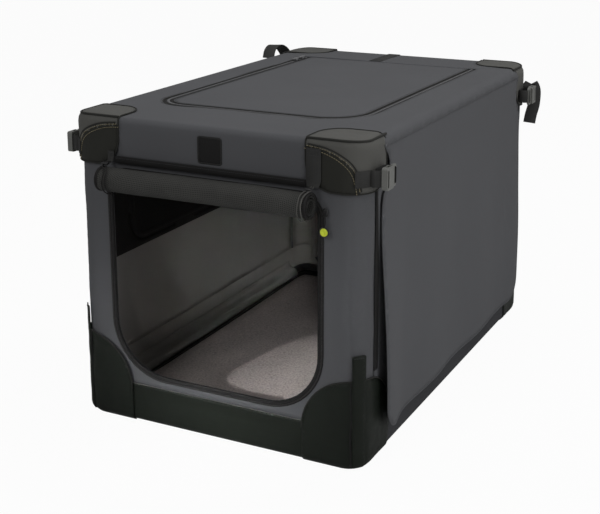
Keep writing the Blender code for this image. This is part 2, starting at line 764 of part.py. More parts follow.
def make_front_door():
    """The mesh door rolled up over the doorway, the strip above it and its two ties."""
    reach = DOOR_HALF_WIDTH
    add("rolled_front_door", prism(spiral_outline(), -reach, reach, "X"), "door_mesh")
    back = -HALF_LENGTH - GAP
    middle = DOOR_HALF_WIDTH - TIE_INSET
    left, right = -middle + TIE_TAB_WIDTH / 2 + GAP, middle - TIE_WIDTH / 2 - GAP
    strip = box((left, back - STORM_THICKNESS, STORM_LOW), (right, back, STORM_HIGH))
    add("storm_strip", strip, "webbing")
    make_roll_tie("left_roll_tie", -middle, TIE_TAB_WIDTH, STORM_HIGH + TIE_TAB_RISE)
    make_roll_tie("right_roll_tie", middle, TIE_WIDTH, HEIGHT - TIE_TOP_DROP)


def make_roll_tie(name, middle, width, top):
    """Webbing down the wall, then a narrow elastic loop round the front of the roll."""
    wall = -HALF_LENGTH - GAP - TIE_CLOTH / 2
    reach = ROLL_DIAMETER / 2 + GAP + TIE_CLOTH / 2
    flat = [
        (wall, top),
        (wall, STORM_HIGH),
        (wall - OVERRUN, ROLL_HEIGHT + reach + GAP),
    ]
    loop = arc((ROLL_Y, ROLL_HEIGHT), reach, 90, 90 + TIE_LOOP_DEGREES, 2 * ARC_STEPS)
    path = [(middle, y, z) for y, z in flat + loop]
    widths = [width, width] + [TIE_CORD_WIDTH] * (len(path) - 2)
    add(name, ribbon(path, widths, TIE_CLOTH, (1, 0, 0)), "webbing")


def make_corner_straps():
    """A webbing strap with a side-release buckle round each top corner."""
    for end, sign in (("front", 1), ("rear", -1)):
        for side, half in (("left", -1), ("right", 1)):
            flip = (half, sign)
            make_strap(f"{end}_{side}_corner_strap", flip)
            make_buckle_socket(f"{end}_{side}_buckle_socket", flip)
            make_buckle_plug(f"{end}_{side}_buckle_plug", flip)


def make_strap(name, flip):
    """Webbing sewn on at the corner's bend, led to the socket, with a tail to the plug."""
    lift = GAP + WEBBING / 2
    middle = (HALF_WIDTH - CORNER_RADIUS, -HALF_LENGTH + CORNER_RADIUS)
    turn = arc(middle, CORNER_RADIUS + lift, STRAP_START_DEGREES, STRAP_LEAVE_DEGREES)
    slot_y = PARTING_Y - SOCKET_HALF_LENGTH + BUCKLE_BAR + BUCKLE_SLOT / 2
    rise = (BUCKLE_X - BUCKLE_THICKNESS, slot_y)
    end = (BUCKLE_X + BUCKLE_THICKNESS / 2, slot_y)
    path = [(x, y, STRAP_Z) for x, y in turn + [rise, end]]
    band = ribbon(path, [WEBBING_WIDTH] * len(path), WEBBING, (0, 0, 1))
    strap = add(name, band, "webbing", flip=flip)
    tail_y = PARTING_Y + PLUG_LENGTH - BUCKLE_BAR - BUCKLE_SLOT / 2
    sewn = HALF_WIDTH + lift
    fold = -HALF_LENGTH + TAIL_END
    tail = [
        (sewn - GAP, turn[-1][1] - WEBBING),
        (sewn + GAP, turn[-1][1] + OVERRUN),
        (sewn + GAP, fold - OVERRUN),
        (sewn + OVERRUN, fold),
        (BUCKLE_X - BUCKLE_THICKNESS, tail_y + WEBBING),
        (BUCKLE_X + BUCKLE_THICKNESS / 2, tail_y),
    ]
    path = [(x, y, STRAP_Z) for x, y in tail]
    width = WEBBING_WIDTH - TAIL_NARROWING
    combine(strap, ribbon(path, [width] * len(path), WEBBING, (0, 0, 1)), "UNION", flip)


def webbing_slot(start):
    """The cutter for the slot that webbing passes through."""
    half = WEBBING_WIDTH / 2 + GAP
    low = (BUCKLE_X - BUCKLE_THICKNESS, start, STRAP_Z - half)
    return box(low, (BUCKLE_X + BUCKLE_THICKNESS, start + BUCKLE_SLOT, STRAP_Z + half))


def make_buckle_socket(name, flip):
    """The buckle's socket: an open mouth, two side windows and a bar for the webbing."""
    start = PARTING_Y - SOCKET_HALF_LENGTH
    low, high = STRAP_Z - BUCKLE_HALF_HEIGHT, STRAP_Z + BUCKLE_HALF_HEIGHT
    outline = rounded(start, PARTING_Y, low, high, BUCKLE_CORNER, steps=EDGE_STEPS)
    half = BUCKLE_THICKNESS / 2
    body = prism(outline, BUCKLE_X - half, BUCKLE_X + half, "X")
    socket = add(name, body, "buckle_plastic", flip=flip)
    combine(socket, webbing_slot(start + BUCKLE_BAR), "DIFFERENCE", flip)
    inner_half = BUCKLE_HALF_HEIGHT - BUCKLE_WALL
    depth = half - BUCKLE_WALL + BUCKLE_PLAY
    mouth = box(
        (BUCKLE_X - depth, PARTING_Y - PRONG_LENGTH - BUCKLE_PLAY, STRAP_Z - inner_half),
        (BUCKLE_X + depth, PARTING_Y + OVERRUN, STRAP_Z + inner_half),
    )
    combine(socket, mouth, "DIFFERENCE", flip)
    tip = PARTING_Y - PRONG_LENGTH
    reach = BUCKLE_HALF_HEIGHT + OVERRUN
    windows = box(
        (BUCKLE_X - depth, tip, STRAP_Z - reach),
        (BUCKLE_X + depth, tip + BUCKLE_WINDOW, STRAP_Z + reach),
    )
    combine(socket, windows, "DIFFERENCE", flip)


def make_buckle_plug(name, flip):
    """The buckle's plug: a base with a webbing slot, two barbed prongs and a guide."""
    tip = PARTING_Y - PRONG_LENGTH
    root = PARTING_Y + GAP
    half = BUCKLE_HALF_HEIGHT - BUCKLE_WALL - BUCKLE_PLAY
    barb = half - PRONG_BARB
    upper = [
        (root, barb),
        (tip + PRONG_BARB_LENGTH, barb),
        (tip + PRONG_BARB_LENGTH, half),
        (tip + PRONG_BARB, half),
        (tip, barb - PRONG_BARB),
        (tip, barb - PRONG_WIDTH),
        (root, barb - PRONG_WIDTH),
        (root, GUIDE_WIDTH / 2),
        (tip + PRONG_BARB_LENGTH, GUIDE_WIDTH / 2),
    ]
    base = [
        (root + PLUG_LENGTH, BUCKLE_HALF_HEIGHT - BUCKLE_CORNER),
        (root + PLUG_LENGTH - BUCKLE_CORNER, BUCKLE_HALF_HEIGHT),
        (root, BUCKLE_HALF_HEIGHT),
    ]
    half_outline = base + upper
    outline = half_outline + [(y, -z) for y, z in reversed(half_outline)]
    placed = [(y, STRAP_Z + z) for y, z in outline]
    depth = BUCKLE_THICKNESS / 2 - BUCKLE_WALL
    body = prism(placed, BUCKLE_X - depth, BUCKLE_X + depth, "X")
    origin = (BUCKLE_X, PARTING_Y, STRAP_Z)
    plug = add(name, body, "buckle_plastic", origin=origin, flip=flip)
    start = root + PLUG_LENGTH - BUCKLE_BAR - BUCKLE_SLOT
    combine(plug, webbing_slot(start), "DIFFERENCE", flip)


def slider_body(centre):
    """A zip slider from above: wide at the middle and narrower at both ends."""
    length, width = SLIDER_LENGTH / 2, SLIDER_WIDTH / 2
    waist = width * SLIDER_WAIST_SHARE
    outline = [
        (-length, -waist),
        (-length / 2, -width),
        (length / 2, -width),
        (length, -waist),
        (length, waist),
        (length / 2, width),
        (-length / 2, width),
        (-length, waist),
    ]
    return [(centre[0] + v, centre[1] + u) for u, v in outline]


def make_zips():
    """Zip sliders of the front door and the roof hatch, and the round pull tag."""
    x = DOOR_HALF_WIDTH + BINDING_WIDTH + SLIDER_WIDTH / 2 + GAP
    face = FRONT_FACE - GAP
    body = prism(slider_body((x, FRONT_SLIDER_Z)), face - SLIDER_HEIGHT, face, "Y")
    add("front_zip_slider", body, "zip_metal", origin=(x, face, FRONT_SLIDER_Z))
    front = face - SLIDER_HEIGHT - GAP
    low = FRONT_SLIDER_Z - SLIDER_LENGTH / 2
    tag_z = low - TAG_DROP + TAG_RADIUS
    body = disc((x, tag_z), TAG_RADIUS, front - TAG_THICKNESS, front, "Y")
    tag = add("zip_pull_tag", body, "tag_rubber", origin=(x, front, FRONT_SLIDER_Z))
    cord_y = front - TAG_THICKNESS / 2
    path = [(x, cord_y, FRONT_SLIDER_Z), (x, cord_y, tag_z)]
    combine(tag, tube(path, TAG_CORD / 2, (1, 0, 0), sides=ARC_STEPS), "UNION")
    low, x = HEIGHT - SKIN + GAP, -HATCH_HALF_WIDTH
    high = low + SLIDER_HEIGHT
    pull_low = high - PULL_DROP
    for name, y in (
        ("front_hatch_slider", HATCH_SLIDER_Y),
        ("rear_hatch_slider", HATCH_SLIDER_Y + HATCH_SLIDER_STEP),
    ):
        slider = add(name, prism(slider_body((x, y)), low, high), "zip_metal", origin=(x, y, low))
        pull = box(
            (x - PULL_WIDTH / 2, y - PULL_LENGTH, pull_low),
            (x + PULL_WIDTH / 2, y, pull_low + PULL_THICKNESS),
        )
        combine(slider, pull, "UNION")


def main():
    clear_scene()
    make_base()
    make_mat()
    make_walls()
    make_doors()
    make_corner_patches()
    make_end_frames()
    make_top_frame()
    make_roof()
    make_flaps()
    make_front_door()
    make_corner_straps()
    make_zips()


main()
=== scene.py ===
"""Looks of the soft folding dog crate: sewn cloth, mesh, webbing, fleece, light and camera.

Every length is in metres, in the row frame: doorway at -Y, length along Y, width along X, Z up.
"""

import math

import bmesh
import bpy
import numpy as np
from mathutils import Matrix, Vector, noise
from mathutils.geometry import delaunay_2d_cdt


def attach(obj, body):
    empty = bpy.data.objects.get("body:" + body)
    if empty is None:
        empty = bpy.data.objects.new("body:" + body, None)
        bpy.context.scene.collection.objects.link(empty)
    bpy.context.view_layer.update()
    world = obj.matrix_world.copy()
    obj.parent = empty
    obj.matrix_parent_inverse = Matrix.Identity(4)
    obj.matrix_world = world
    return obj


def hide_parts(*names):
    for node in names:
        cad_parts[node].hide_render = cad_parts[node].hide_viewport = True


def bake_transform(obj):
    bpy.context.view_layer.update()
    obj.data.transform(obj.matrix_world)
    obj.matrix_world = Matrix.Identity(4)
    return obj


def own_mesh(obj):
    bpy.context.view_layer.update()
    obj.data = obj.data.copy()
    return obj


# Crate, as in the solids
HALF_WIDTH = 0.255
HALF_LENGTH = 0.400
HEIGHT = 0.510
CORNER = 0.038
EDGE = 0.016
SKIN = 0.0017
LINING = 0.0052
WALL_CLOTH = 0.0035
PATCH_CLOTH = 0.0014
BAND_TOP = 0.067
WALL_LOW = 0.0673
WALL_HIGH = 0.4897
ROOF_SKIRT = 0.020
WRAP_END = 0.352
DOOR_HALF, DOOR_LOW, DOOR_HIGH = 0.181, 0.087, 0.420
HATCH_HALF, HATCH_FRONT, HATCH_REAR = 0.178, -0.266, 0.286
FLAP_HALF, FLAP_HEAD = 0.338, 0.494
ROLL_Y, ROLL_Z = -0.42215, 0.4145
STRAP_Z = 0.454
BUCKLE_X = 0.275
PARTING_Y = -0.352
MAT_X, MAT_Y = 0.2225, 0.3430
MAT_LOW, MAT_TOP = 0.0072, 0.0274

# Sewing
WEBBING = 0.0014
BINDING_SINK = 0.0030
ZIP_HALF = 0.0084
HEM = 0.0011
STITCH = (0.0024, 0.0006, 0.0005)
LONG_STITCH = (0.0026, 0.0006, 0.0005)
BAR_STITCH = (0.0024, 0.0007, 0.0006)
STITCH_PITCH = 0.0033

# Folding: the height at which a piece stays, and the share of its height that is left
UP = (0, 0, 1)
WALL_FOLD = (BAND_TOP, 0.082)
PATCH_FOLD = (0.0, 0.27)
UPRIGHT_FOLD = (0.0, 0.22)
FLAP_FOLD = (FLAP_HEAD, 0.19)

# Worked out from the sizes above
FRONT_CLOTH_Y = HALF_LENGTH - SKIN
TOP_LEVEL = HEIGHT - SKIN
STRAIGHT = HALF_WIDTH - CORNER
SIDE_START = STRAIGHT + CORNER * math.pi / 2
INNER_X = HALF_WIDTH - EDGE
INNER_Y = HALF_LENGTH - EDGE
INNER_RADIUS = CORNER - EDGE
EDGE_BEND = EDGE * math.pi / 2
CREASE = 4.5
ENDS = (("front", 1), ("rear", -1))
SIDES = (("left", -1), ("right", 1))
CORNERS = [(f"{end}_{side}", sign, half) for end, sign in ENDS for side, half in SIDES]


# ---------------------------------------------------------------- materials


def feed(tree, socket, value):
    """Gives a socket a plain value, or a link from another node's output."""
    if isinstance(value, (int, float, tuple)):
        socket.default_value = value
    else:
        tree.links.new(value, socket)


def add_node(tree, kind, inputs, output=0, **settings):
    """Adds a shader node, feeds its inputs and returns the named output."""
    made = tree.nodes.new("ShaderNode" + kind)
    for key, value in settings.items():
        setattr(made, key, value)
    for key, value in inputs.items():
        feed(tree, made.inputs[key], value)
    return made.outputs[output]


def shade(colour, factor):
    return (*(c * factor for c in colour), 1.0)


class Surface:
    """A procedural material: helpers that add nodes and link them to one shader."""

    def __init__(self, name, roughness, metallic=0.0, sheen=0.0, coat=0.0, specular=0.5, flat=True):
        self.material = bpy.data.materials.new(name)
        self.material.use_nodes = True
        self.tree = self.material.node_tree
        self.shader = self.tree.nodes["Principled BSDF"].inputs
        self.shader["Roughness"].default_value = roughness
        self.shader["Metallic"].default_value = metallic
        self.shader["Specular IOR Level"].default_value = specular
        self.shader["Sheen Weight"].default_value = sheen
        self.shader["Sheen Roughness"].default_value = 0.6
        self.shader["Coat Weight"].default_value = coat
        self.place = self.space = self.node("TexCoord", {}, "Object")
        if flat:
            self.place = self.node("Attribute", {}, "Vector", attribute_name="flat")

    def node(self, kind, inputs, output=0, **settings):
        return add_node(self.tree, kind, inputs, output, **settings)

    def math(self, operation, *values, clamp=False):
        return self.node("Math", dict(enumerate(values)), operation=operation, use_clamp=clamp)

    def noise(self, scale, detail=2.0, place=None):
        inputs = {"Scale": scale, "Detail": detail, "Vector": place or self.space}
        return self.node("TexNoise", inputs, "Fac")

    def wave(self, direction, period):
        inputs = {"Scale": math.tau / 20 / period, "Vector": self.place}
        return self.node("TexWave", inputs, "Fac", bands_direction=direction)

    def weave(self, period):
        """Two crossed rows of yarn."""
        return self.math("MULTIPLY", self.wave("X", period), self.wave("Y", period))

    def mix(self, factor, low, high):
        return self.node("Mix", {"Factor": factor, 6: low, 7: high}, 2, data_type="RGBA")

    def colour(self, factor, low, high):
        feed(self.tree, self.shader["Base Color"], self.mix(factor, low, high))

    def tint(self, colour, low, high, *terms):
        """Colours from one shade to another by a sum of patterns, each with its weight."""
        *rest, (pattern, weight) = terms
        total = self.math("MULTIPLY", pattern, weight)
        for pattern, weight in rest[::-1]:
            total = self.math("MULTIPLY_ADD", pattern, weight, total, clamp=True)
        self.colour(total, shade(colour, low), shade(colour, high))

    def rough(self, factor, low, high):
        inputs = {"Value": factor, "To Min": low, "To Max": high}
        feed(self.tree, self.shader["Roughness"], self.node("MapRange", inputs, "Result"))

    def bump(self, height, distance, strength=1.0, under=None):
        inputs = {"Height": height, "Distance": distance, "Strength": strength}
        if under is not None:
            inputs["Normal"] = under
        normal = self.node("Bump", inputs)
        feed(self.tree, self.shader["Normal"], normal)
        return normal


def cloth(name, colour, roughness=0.82, period=0.0014, blotch=0.14):
    """Plain woven cloth: two crossed rows of yarn, uneven dye and slubs."""
    made = Surface(name, roughness, sheen=0.03, specular=0.15)
    contrast = 0.16
    yarn = made.weave(period)
    slub = made.noise(420.0, 2.0, made.place)
    cloud = made.noise(6.5, 3.0)
    spread = contrast + blotch
    terms = (cloud, blotch * 2), (yarn, contrast), (slub, contrast)
    made.tint(colour, 1 - spread, 1 + spread, *terms)
    made.rough(cloud, roughness - 0.05, roughness + 0.05)
    soft = made.bump(made.noise(38.0, 4.0), 0.0012, 0.35)
    made.bump(yarn, period * 0.12, 0.5, soft)
    return made.material


def coated(name, colour):
    """Coated cloth: a tight weave under a thin, slightly shiny and creased coat."""
    made = Surface(name, 0.52, coat=0.03, specular=0.15)
    yarn = made.weave(0.0011)
    crease = made.noise(55.0, 5.0)
    made.tint(colour, 0.62, 1.45, (yarn, 0.25), (made.noise(9.0, 4.0), 0.8))
    made.rough(crease, 0.40, 0.66)
    soft = made.bump(crease, 0.0016, 0.45)
    made.bump(yarn, 0.00012, 0.5, soft)
    return made.material


def webbing(name, colour):
    """Ribbed webbing: fine ribs across and long rows of yarn."""
    made = Surface(name, 0.68, sheen=0.02, specular=0.2)
    rows = made.math("MULTIPLY", made.wave("Y", 0.0026), 0.3)
    weave = made.math("MULTIPLY_ADD", made.wave("X", 0.0019), 0.7, rows)
    cloud = made.noise(60.0, 3.0)
    made.tint(colour, 0.6, 1.45, (weave, 0.55), (cloud, 0.45))
    made.rough(cloud, 0.58, 0.78)
    made.bump(weave, 0.0003, 0.7)
    return made.material


def mesh_cloth(name, colour, thread, pitch=0.0024):
    """Knitted mesh: a field of small holes between lighter threads."""
    made = Surface(name, 0.75, specular=0.15)
    holes = made.weave(pitch)
    edge = made.math("GREATER_THAN", holes, 0.42)
    cloud = made.noise(26.0, 3.0)
    body = made.mix(cloud, shade(thread, 0.75), shade(thread, 1.25))
    made.colour(edge, body, shade(colour, 1.0))
    made.rough(cloud, 0.62, 0.85)
    made.bump(holes, -0.0005, 0.8)
    return made.material


def fleece(name, low, high):
    """Fleece pile: curled tufts with painted shade in the gaps between them, brushed unevenly."""
    made = Surface(name, 0.96, sheen=0.2, specular=0.1, flat=False)
    tuft_gap_shade = made.node("TexVoronoi", {"Scale": 310.0, "Vector": made.space}, "Distance")
    curls = made.noise(260.0, 5.0)
    brushed = made.noise(11.0, 4.0)
    tone = made.math("MULTIPLY_ADD", curls, 0.75, made.math("MULTIPLY", brushed, 0.45))
    # Painted shade: each tuft cell darkens towards its edge, where the gaps between tufts are.
    tone = made.math("SUBTRACT", tone, made.math("MULTIPLY", tuft_gap_shade, 0.35), clamp=True)
    made.colour(tone, shade(low, 1.0), shade(high, 1.0))
    soft = made.bump(brushed, 0.004, 0.4)
    made.bump(curls, 0.0022, 0.9, soft)
    return made.material


def moulded(name, colour, roughness=0.45, grain=900.0):
    """Moulded plastic: a fine spark-eroded grain, with worn and dusty places."""
    made = Surface(name, roughness, flat=False)
    cloud = made.noise(70.0, 4.0)
    speck = made.noise(grain)
    made.tint(colour, 0.75, 1.3, (cloud, 0.6), (speck, 0.4))
    made.rough(cloud, roughness - 0.1, roughness + 0.12)
    made.bump(speck, 0.00008, 0.6)
    return made.material


def metal(name, colour, roughness, metallic, grain):
    """Coated or bare metal with a light orange peel and small rubbed spots."""
    made = Surface(name, roughness, metallic, flat=False)
    rub = made.noise(28.0, 5.0)
    made.colour(rub, shade(colour, 0.8), shade(colour, 1.25))
    made.rough(rub, roughness - 0.08, roughness + 0.14)
    made.bump(made.noise(grain), 0.0001, 0.5)
    return made.material


def make_materials():
    grey = (0.113, 0.115, 0.123)
    return {
        "cover": cloth("cover_weave", grey),
        "flap": cloth("flap_weave", grey, blotch=0.10),
        "front": cloth("front_weave", (0.108, 0.110, 0.118), blotch=0.12),
        "lining": cloth("lining_weave", (0.330, 0.318, 0.300), blotch=0.12),
        "corner_top": cloth("corner_top_weave", (0.112, 0.111, 0.103), 0.62, blotch=0.22),
        "corner": cloth("corner_weave", (0.030, 0.030, 0.0255), 0.74, blotch=0.22),
        "coated": coated("coated_band", (0.0100, 0.0128, 0.0095)),
        "side_band": cloth("side_band_weave", (0.052, 0.053, 0.058), blotch=0.16),
        "webbing": webbing("webbing_weave", (0.032, 0.032, 0.031)),
        "binding": webbing("binding_weave", (0.038, 0.037, 0.036)),
        "edge_tape": webbing("edge_tape_weave", (0.011, 0.0105, 0.0105)),
        "mesh": mesh_cloth("window_mesh", (0.006, 0.006, 0.006), (0.024, 0.023, 0.022)),
        "roll": mesh_cloth("door_mesh_knit", (0.014, 0.014, 0.013), (0.058, 0.058, 0.055), 0.0030),
        "piping": cloth("piping_weave", (0.030, 0.030, 0.027), period=0.0009),
        "thread": webbing("tan_thread", (0.30, 0.26, 0.165)),
        "dark_thread": webbing("dark_thread", (0.045, 0.045, 0.048)),
        "elastic": webbing("elastic_knit", (0.085, 0.083, 0.078)),
        "teeth": moulded("zip_coil", (0.10, 0.101, 0.105), 0.32),
        "zip_metal": metal("zip_enamel", (0.030, 0.030, 0.031), 0.36, 0.6, 700.0),
        "puller": metal("puller_steel", (0.34, 0.34, 0.35), 0.30, 0.9, 500.0),
        "buckle": moulded("buckle_acetal", (0.150, 0.152, 0.142), 0.36),
        "frame": metal("powder_coat", (0.055, 0.056, 0.058), 0.40, 0.4, 800.0),
        "socket": moulded("socket_nylon", (0.020, 0.020, 0.021), 0.46),
        "button": metal("bright_button", (0.55, 0.55, 0.56), 0.28, 0.95, 600.0),
        "board": moulded("floor_board_grain", (0.020, 0.020, 0.021), 0.7, 300.0),
        "tag": moulded("tag_rubber_grain", (0.62, 0.72, 0.035), 0.5, 500.0),
        "fleece": fleece("fleece_pile", (0.20, 0.172, 0.160), (0.80, 0.71, 0.675)),
    }


# ---------------------------------------------------------------- mesh helpers


def arc(centre, radius, start, end, steps):
    angles = [math.radians(start + (end - start) * k / steps) for k in range(steps + 1)]
    return [(centre[0] + radius * math.cos(a), centre[1] + radius * math.sin(a)) for a in angles]


def rounded(left, right, low, high, low_radius, high_radius=None, steps=12):
    """A rounded rectangle, anticlockwise from its lower left corner."""
    top = low_radius if high_radius is None else high_radius
    return (
        arc((left + low_radius, low + low_radius), low_radius, 180, 270, steps)
        + arc((right - low_radius, low + low_radius), low_radius, 270, 360, steps)
        + arc((right - top, high - top), top, 0, 90, steps)
        + arc((left + top, high - top), top, 90, 180, steps)
    )


def block(half, low, high):
    """A rectangle, anticlockwise from its lower left corner."""
    return [(-half, low), (half, low), (half, high), (-half, high)]


def resample(line, spacing, closed=True):
    """Points about one spacing apart along a line of straight stretches."""
    points = [np.array(p, float) for p in line]
    out = []
    for a, b in zip(points, points[1:] + points[:1] * closed):
        length = float(np.linalg.norm(b - a))
        if length > 1e-7:
            count = max(1, round(length / spacing))
            out += [a + (b - a) * k / count for k in range(count)]
    return np.array(out if closed else out + points[-1:])


def laid(outline, spacing, place, lift=0.0, closed=True):
    """Points along an outline, laid into place."""
    return [Vector(place(u, v, lift)) for u, v in resample(outline, spacing, closed)]


def inside(points, loop):
    """Which points lie inside a closed loop."""
    x, y = points[:, 0], points[:, 1]
    result = np.zeros(len(points), bool)
    for (x1, y1), (x2, y2) in zip(loop, np.roll(loop, -1, 0)):
        if y1 != y2:
            crosses = (y1 > y) != (y2 > y)
            result ^= crosses & (x < (x2 - x1) * (y - y1) / (y2 - y1) + x1)
    return result


def nearest(points, others, batch=1000):
    """Each point's distance to the nearest of the others."""
    out = np.empty(len(points))
    for k in range(0, len(points), batch):
        part = points[k : k + batch]
        out[k : k + batch] = np.sqrt(((part[:, None] - others[None]) ** 2).sum(2)).min(1)
    return out


def smooth_step(value, low, high):
    t = min(max((value - low) / (high - low), 0.0), 1.0)
    return t * t * (3 - 2 * t)


def add_object(name, mesh, material):
    mesh.shade_smooth()
    mesh.materials.append(material)
    obj = bpy.data.objects.new(name, mesh)
    bpy.context.scene.collection.objects.link(obj)
    return obj


def to_object(name, verts, faces, material, flat):
    """A smooth-shaded object of a mesh, with its sheet coordinates kept for the weave."""
    mesh = bpy.data.meshes.new(name)
    mesh.from_pydata([tuple(v) for v in verts], [], [tuple(f) for f in faces])
    mesh.validate()
    kept = mesh.attributes.new("flat", "FLOAT_VECTOR", "POINT")
    kept.data.foreach_set("vector", np.array(flat, np.float32).ravel())
    return add_object(name, mesh, MATERIALS[material])


def mend(obj, weld=False):
    """Turns all faces outwards, after welding doubles where that is asked for."""
    bm = bmesh.new()
    bm.from_mesh(obj.data)
    if weld:
        bmesh.ops.remove_doubles(bm, verts=bm.verts, dist=1e-6)
    bmesh.ops.recalc_face_normals(bm, faces=bm.faces)
    bm.to_mesh(obj.data)
    bm.free()


def thicken(obj, thickness, inner=None):
    """Gives a sheet its thickness, inwards, with another cloth inside if one is named."""
    modifier = obj.modifiers.new("Cloth", "SOLIDIFY")
    modifier.thickness = thickness
    modifier.offset = -1
    if inner:
        obj.data.materials.append(MATERIALS[inner])
        modifier.material_offset = 1
        modifier.material_offset_rim = 0


def sheet(
    name, outline, place, spacing, material,
    holes=(), relief=None, fade=0.02, thickness=0.001, inner=None,
):
    """A sheet of cloth: a fine mesh inside an outline, laid into place with a soft relief.

    The relief fades out towards the edges over a distance, or not at all where that is zero.
    """
    loops = [resample(loop, spacing) for loop in (outline, *holes)]
    rim = np.vstack(loops)

    def within(points):
        keep = inside(points, loops[0])
        for hole in loops[1:]:
            keep &= ~inside(points, hole)
        return keep

    low, high = rim.min(0), rim.max(0)
    row_height = spacing * math.sqrt(3) / 2
    grid = []
    for row in range(1, int((high[1] - low[1]) / row_height) + 1):
        start = low[0] + (spacing / 2 if row % 2 else 0)
        count = int((high[0] - start) / spacing) + 1
        grid += [(start + spacing * k, low[1] + row_height * row) for k in range(count)]
    grid = np.array(grid)
    grid = grid[within(grid)]
    grid = grid[nearest(grid, rim) > spacing * 0.6]
    edges, start = [], 0
    for loop in loops:
        n = len(loop)
        edges += [(start + k, start + (k + 1) % n) for k in range(n)]
        start += n
    points = [Vector(p) for p in np.vstack([rim, grid])]
    verts, _, faces, *_ = delaunay_2d_cdt(points, edges, [], 0, 1e-7)
    flat = np.array([tuple(v) for v in verts])
    keep = within(np.array([flat[list(f)].mean(0) for f in faces]))
    faces = [tuple(f) for f, k in zip(faces, keep) if k]
    placed = []
    for (u, v), gap in zip(flat, nearest(flat, rim)):
        share = smooth_step(gap, 0.0, fade) if fade else 1.0
        placed.append(Vector(place(u, v, relief(u, v) * share if relief else 0.0)))
    middle = faces[len(faces) // 2]
    a, b, c = (placed[k] for k in middle)
    u, v = flat[middle[0]]
    outwards = Vector(place(u, v, 0.001)) - Vector(place(u, v, 0.0))
    if (b - a).cross(c - a).dot(outwards) < 0:
        faces = [f[::-1] for f in faces]
    obj = to_object(name, placed, faces, material, [(u, v, 0) for u, v in flat])
    thicken(obj, thickness, inner)
    return obj


def running(path):
    """Lengths from the start of a path to each of its points."""
    out = [0.0]
    for a, b in zip(path, path[1:]):
        out.append(out[-1] + (Vector(b) - Vector(a)).length)
    return out


def loft(name, rows, material, closed=True, caps=2, lengths=None, ring=False):
    """A skin through rows of points.

    Each row is a closed loop unless closed is off. caps is the number of ends that are closed,
    and ring joins the last row to the first instead.
    """
    if ring:
        rows, caps = [*rows, rows[0]], 0
    count = len(rows[0])
    verts = [p for row in rows for p in row]
    flat, faces = [], []
    for i, row in enumerate(rows):
        along = lengths[i] if lengths else i * 0.005
        flat += [(along, around, 0) for around in running(row)]
    for start in range(0, len(verts) - count, count):
        for j in range(count if closed else count - 1):
            k = (j + 1) % count
            faces.append((start + j, start + k, start + count + k, start + count + j))
    ends = [tuple(range(count))[::-1], tuple(range(len(verts) - count, len(verts)))]
    obj = to_object(name, verts, faces + ends[:caps], material, flat)
    if closed:
        mend(obj)
    obj.data.set_sharp_from_angle(angle=math.radians(50))
    if ring:
        mend(obj, weld=True)
    return obj


def curved(points, spacing):
    """A smooth line through points, by Catmull-Rom."""
    pts = [Vector(p) for p in points]
    pts = [pts[0] * 2 - pts[1], *pts, pts[-1] * 2 - pts[-2]]
    out = []
    for p0, p1, p2, p3 in zip(pts, pts[1:], pts[2:], pts[3:]):
        count = max(1, round((p2 - p1).length / spacing))
        for k in range(count):
            t = k / count
            a = 2 * p1 + (p2 - p0) * t + (2 * p0 - 5 * p1 + 4 * p2 - p3) * t * t
            out.append((a + (3 * p1 - p0 - 3 * p2 + p3) * t**3) / 2)
    return out + [pts[-2]]


def tangents(path, closed=False):
    path = [Vector(p) for p in path]
    before = (path[-1:] if closed else path[:1]) + path[:-1]
    after = path[1:] + (path[:1] if closed else path[-1:])
    return [(b - a).normalized() for a, b in zip(before, after)]


def across(path, normal, closed=True):
    """Directions across a tape that lies flat on a face with this normal."""
    return [t.cross(Vector(normal)) for t in tangents(path, closed)]


def band(name, path, ways, width, thickness, material, closed=False):
    """Webbing or tape along a path: flat, with soft edges. ways are its directions of width."""
    path = [Vector(p) for p in path]
    ways = ways if isinstance(ways, list) else [Vector(ways)] * len(path)
    widths = width if isinstance(width, list) else [width] * len(path)
    h, e = thickness / 2, thickness * 0.6
    rows = []
    for p, t, way, w in zip(path, tangents(path, closed), ways, widths):
        side = (way - t * way.dot(t)).normalized()
        up = t.cross(side)
        section = [(-w / 2 + e, -h), (0, -h), (w / 2 - e, -h), (w / 2, 0)]
        section += [(w / 2 - e, h), (0, h), (-w / 2 + e, h), (-w / 2, 0)]
        rows.append([p + side * i + up * j for i, j in section])
    return loft(name, rows, material, lengths=running(path + path[:1] * closed), ring=closed)


def cord(name, path, radius, material, sides=8, closed=False):
    """A round cord, piping or elastic along a path."""
    path = [Vector(p) for p in path]
    ways = tangents(path, closed)
    side = ways[0].orthogonal().normalized()
    turns = [math.tau * k / sides for k in range(sides)]
    rows = []
    for p, t in zip(path, ways):
        side = (side - t * side.dot(t)).normalized()
        up = t.cross(side)
        rows.append([p + (side * math.cos(a) + up * math.sin(a)) * radius for a in turns])
    return loft(name, rows, material, lengths=running(path + path[:1] * closed), ring=closed)


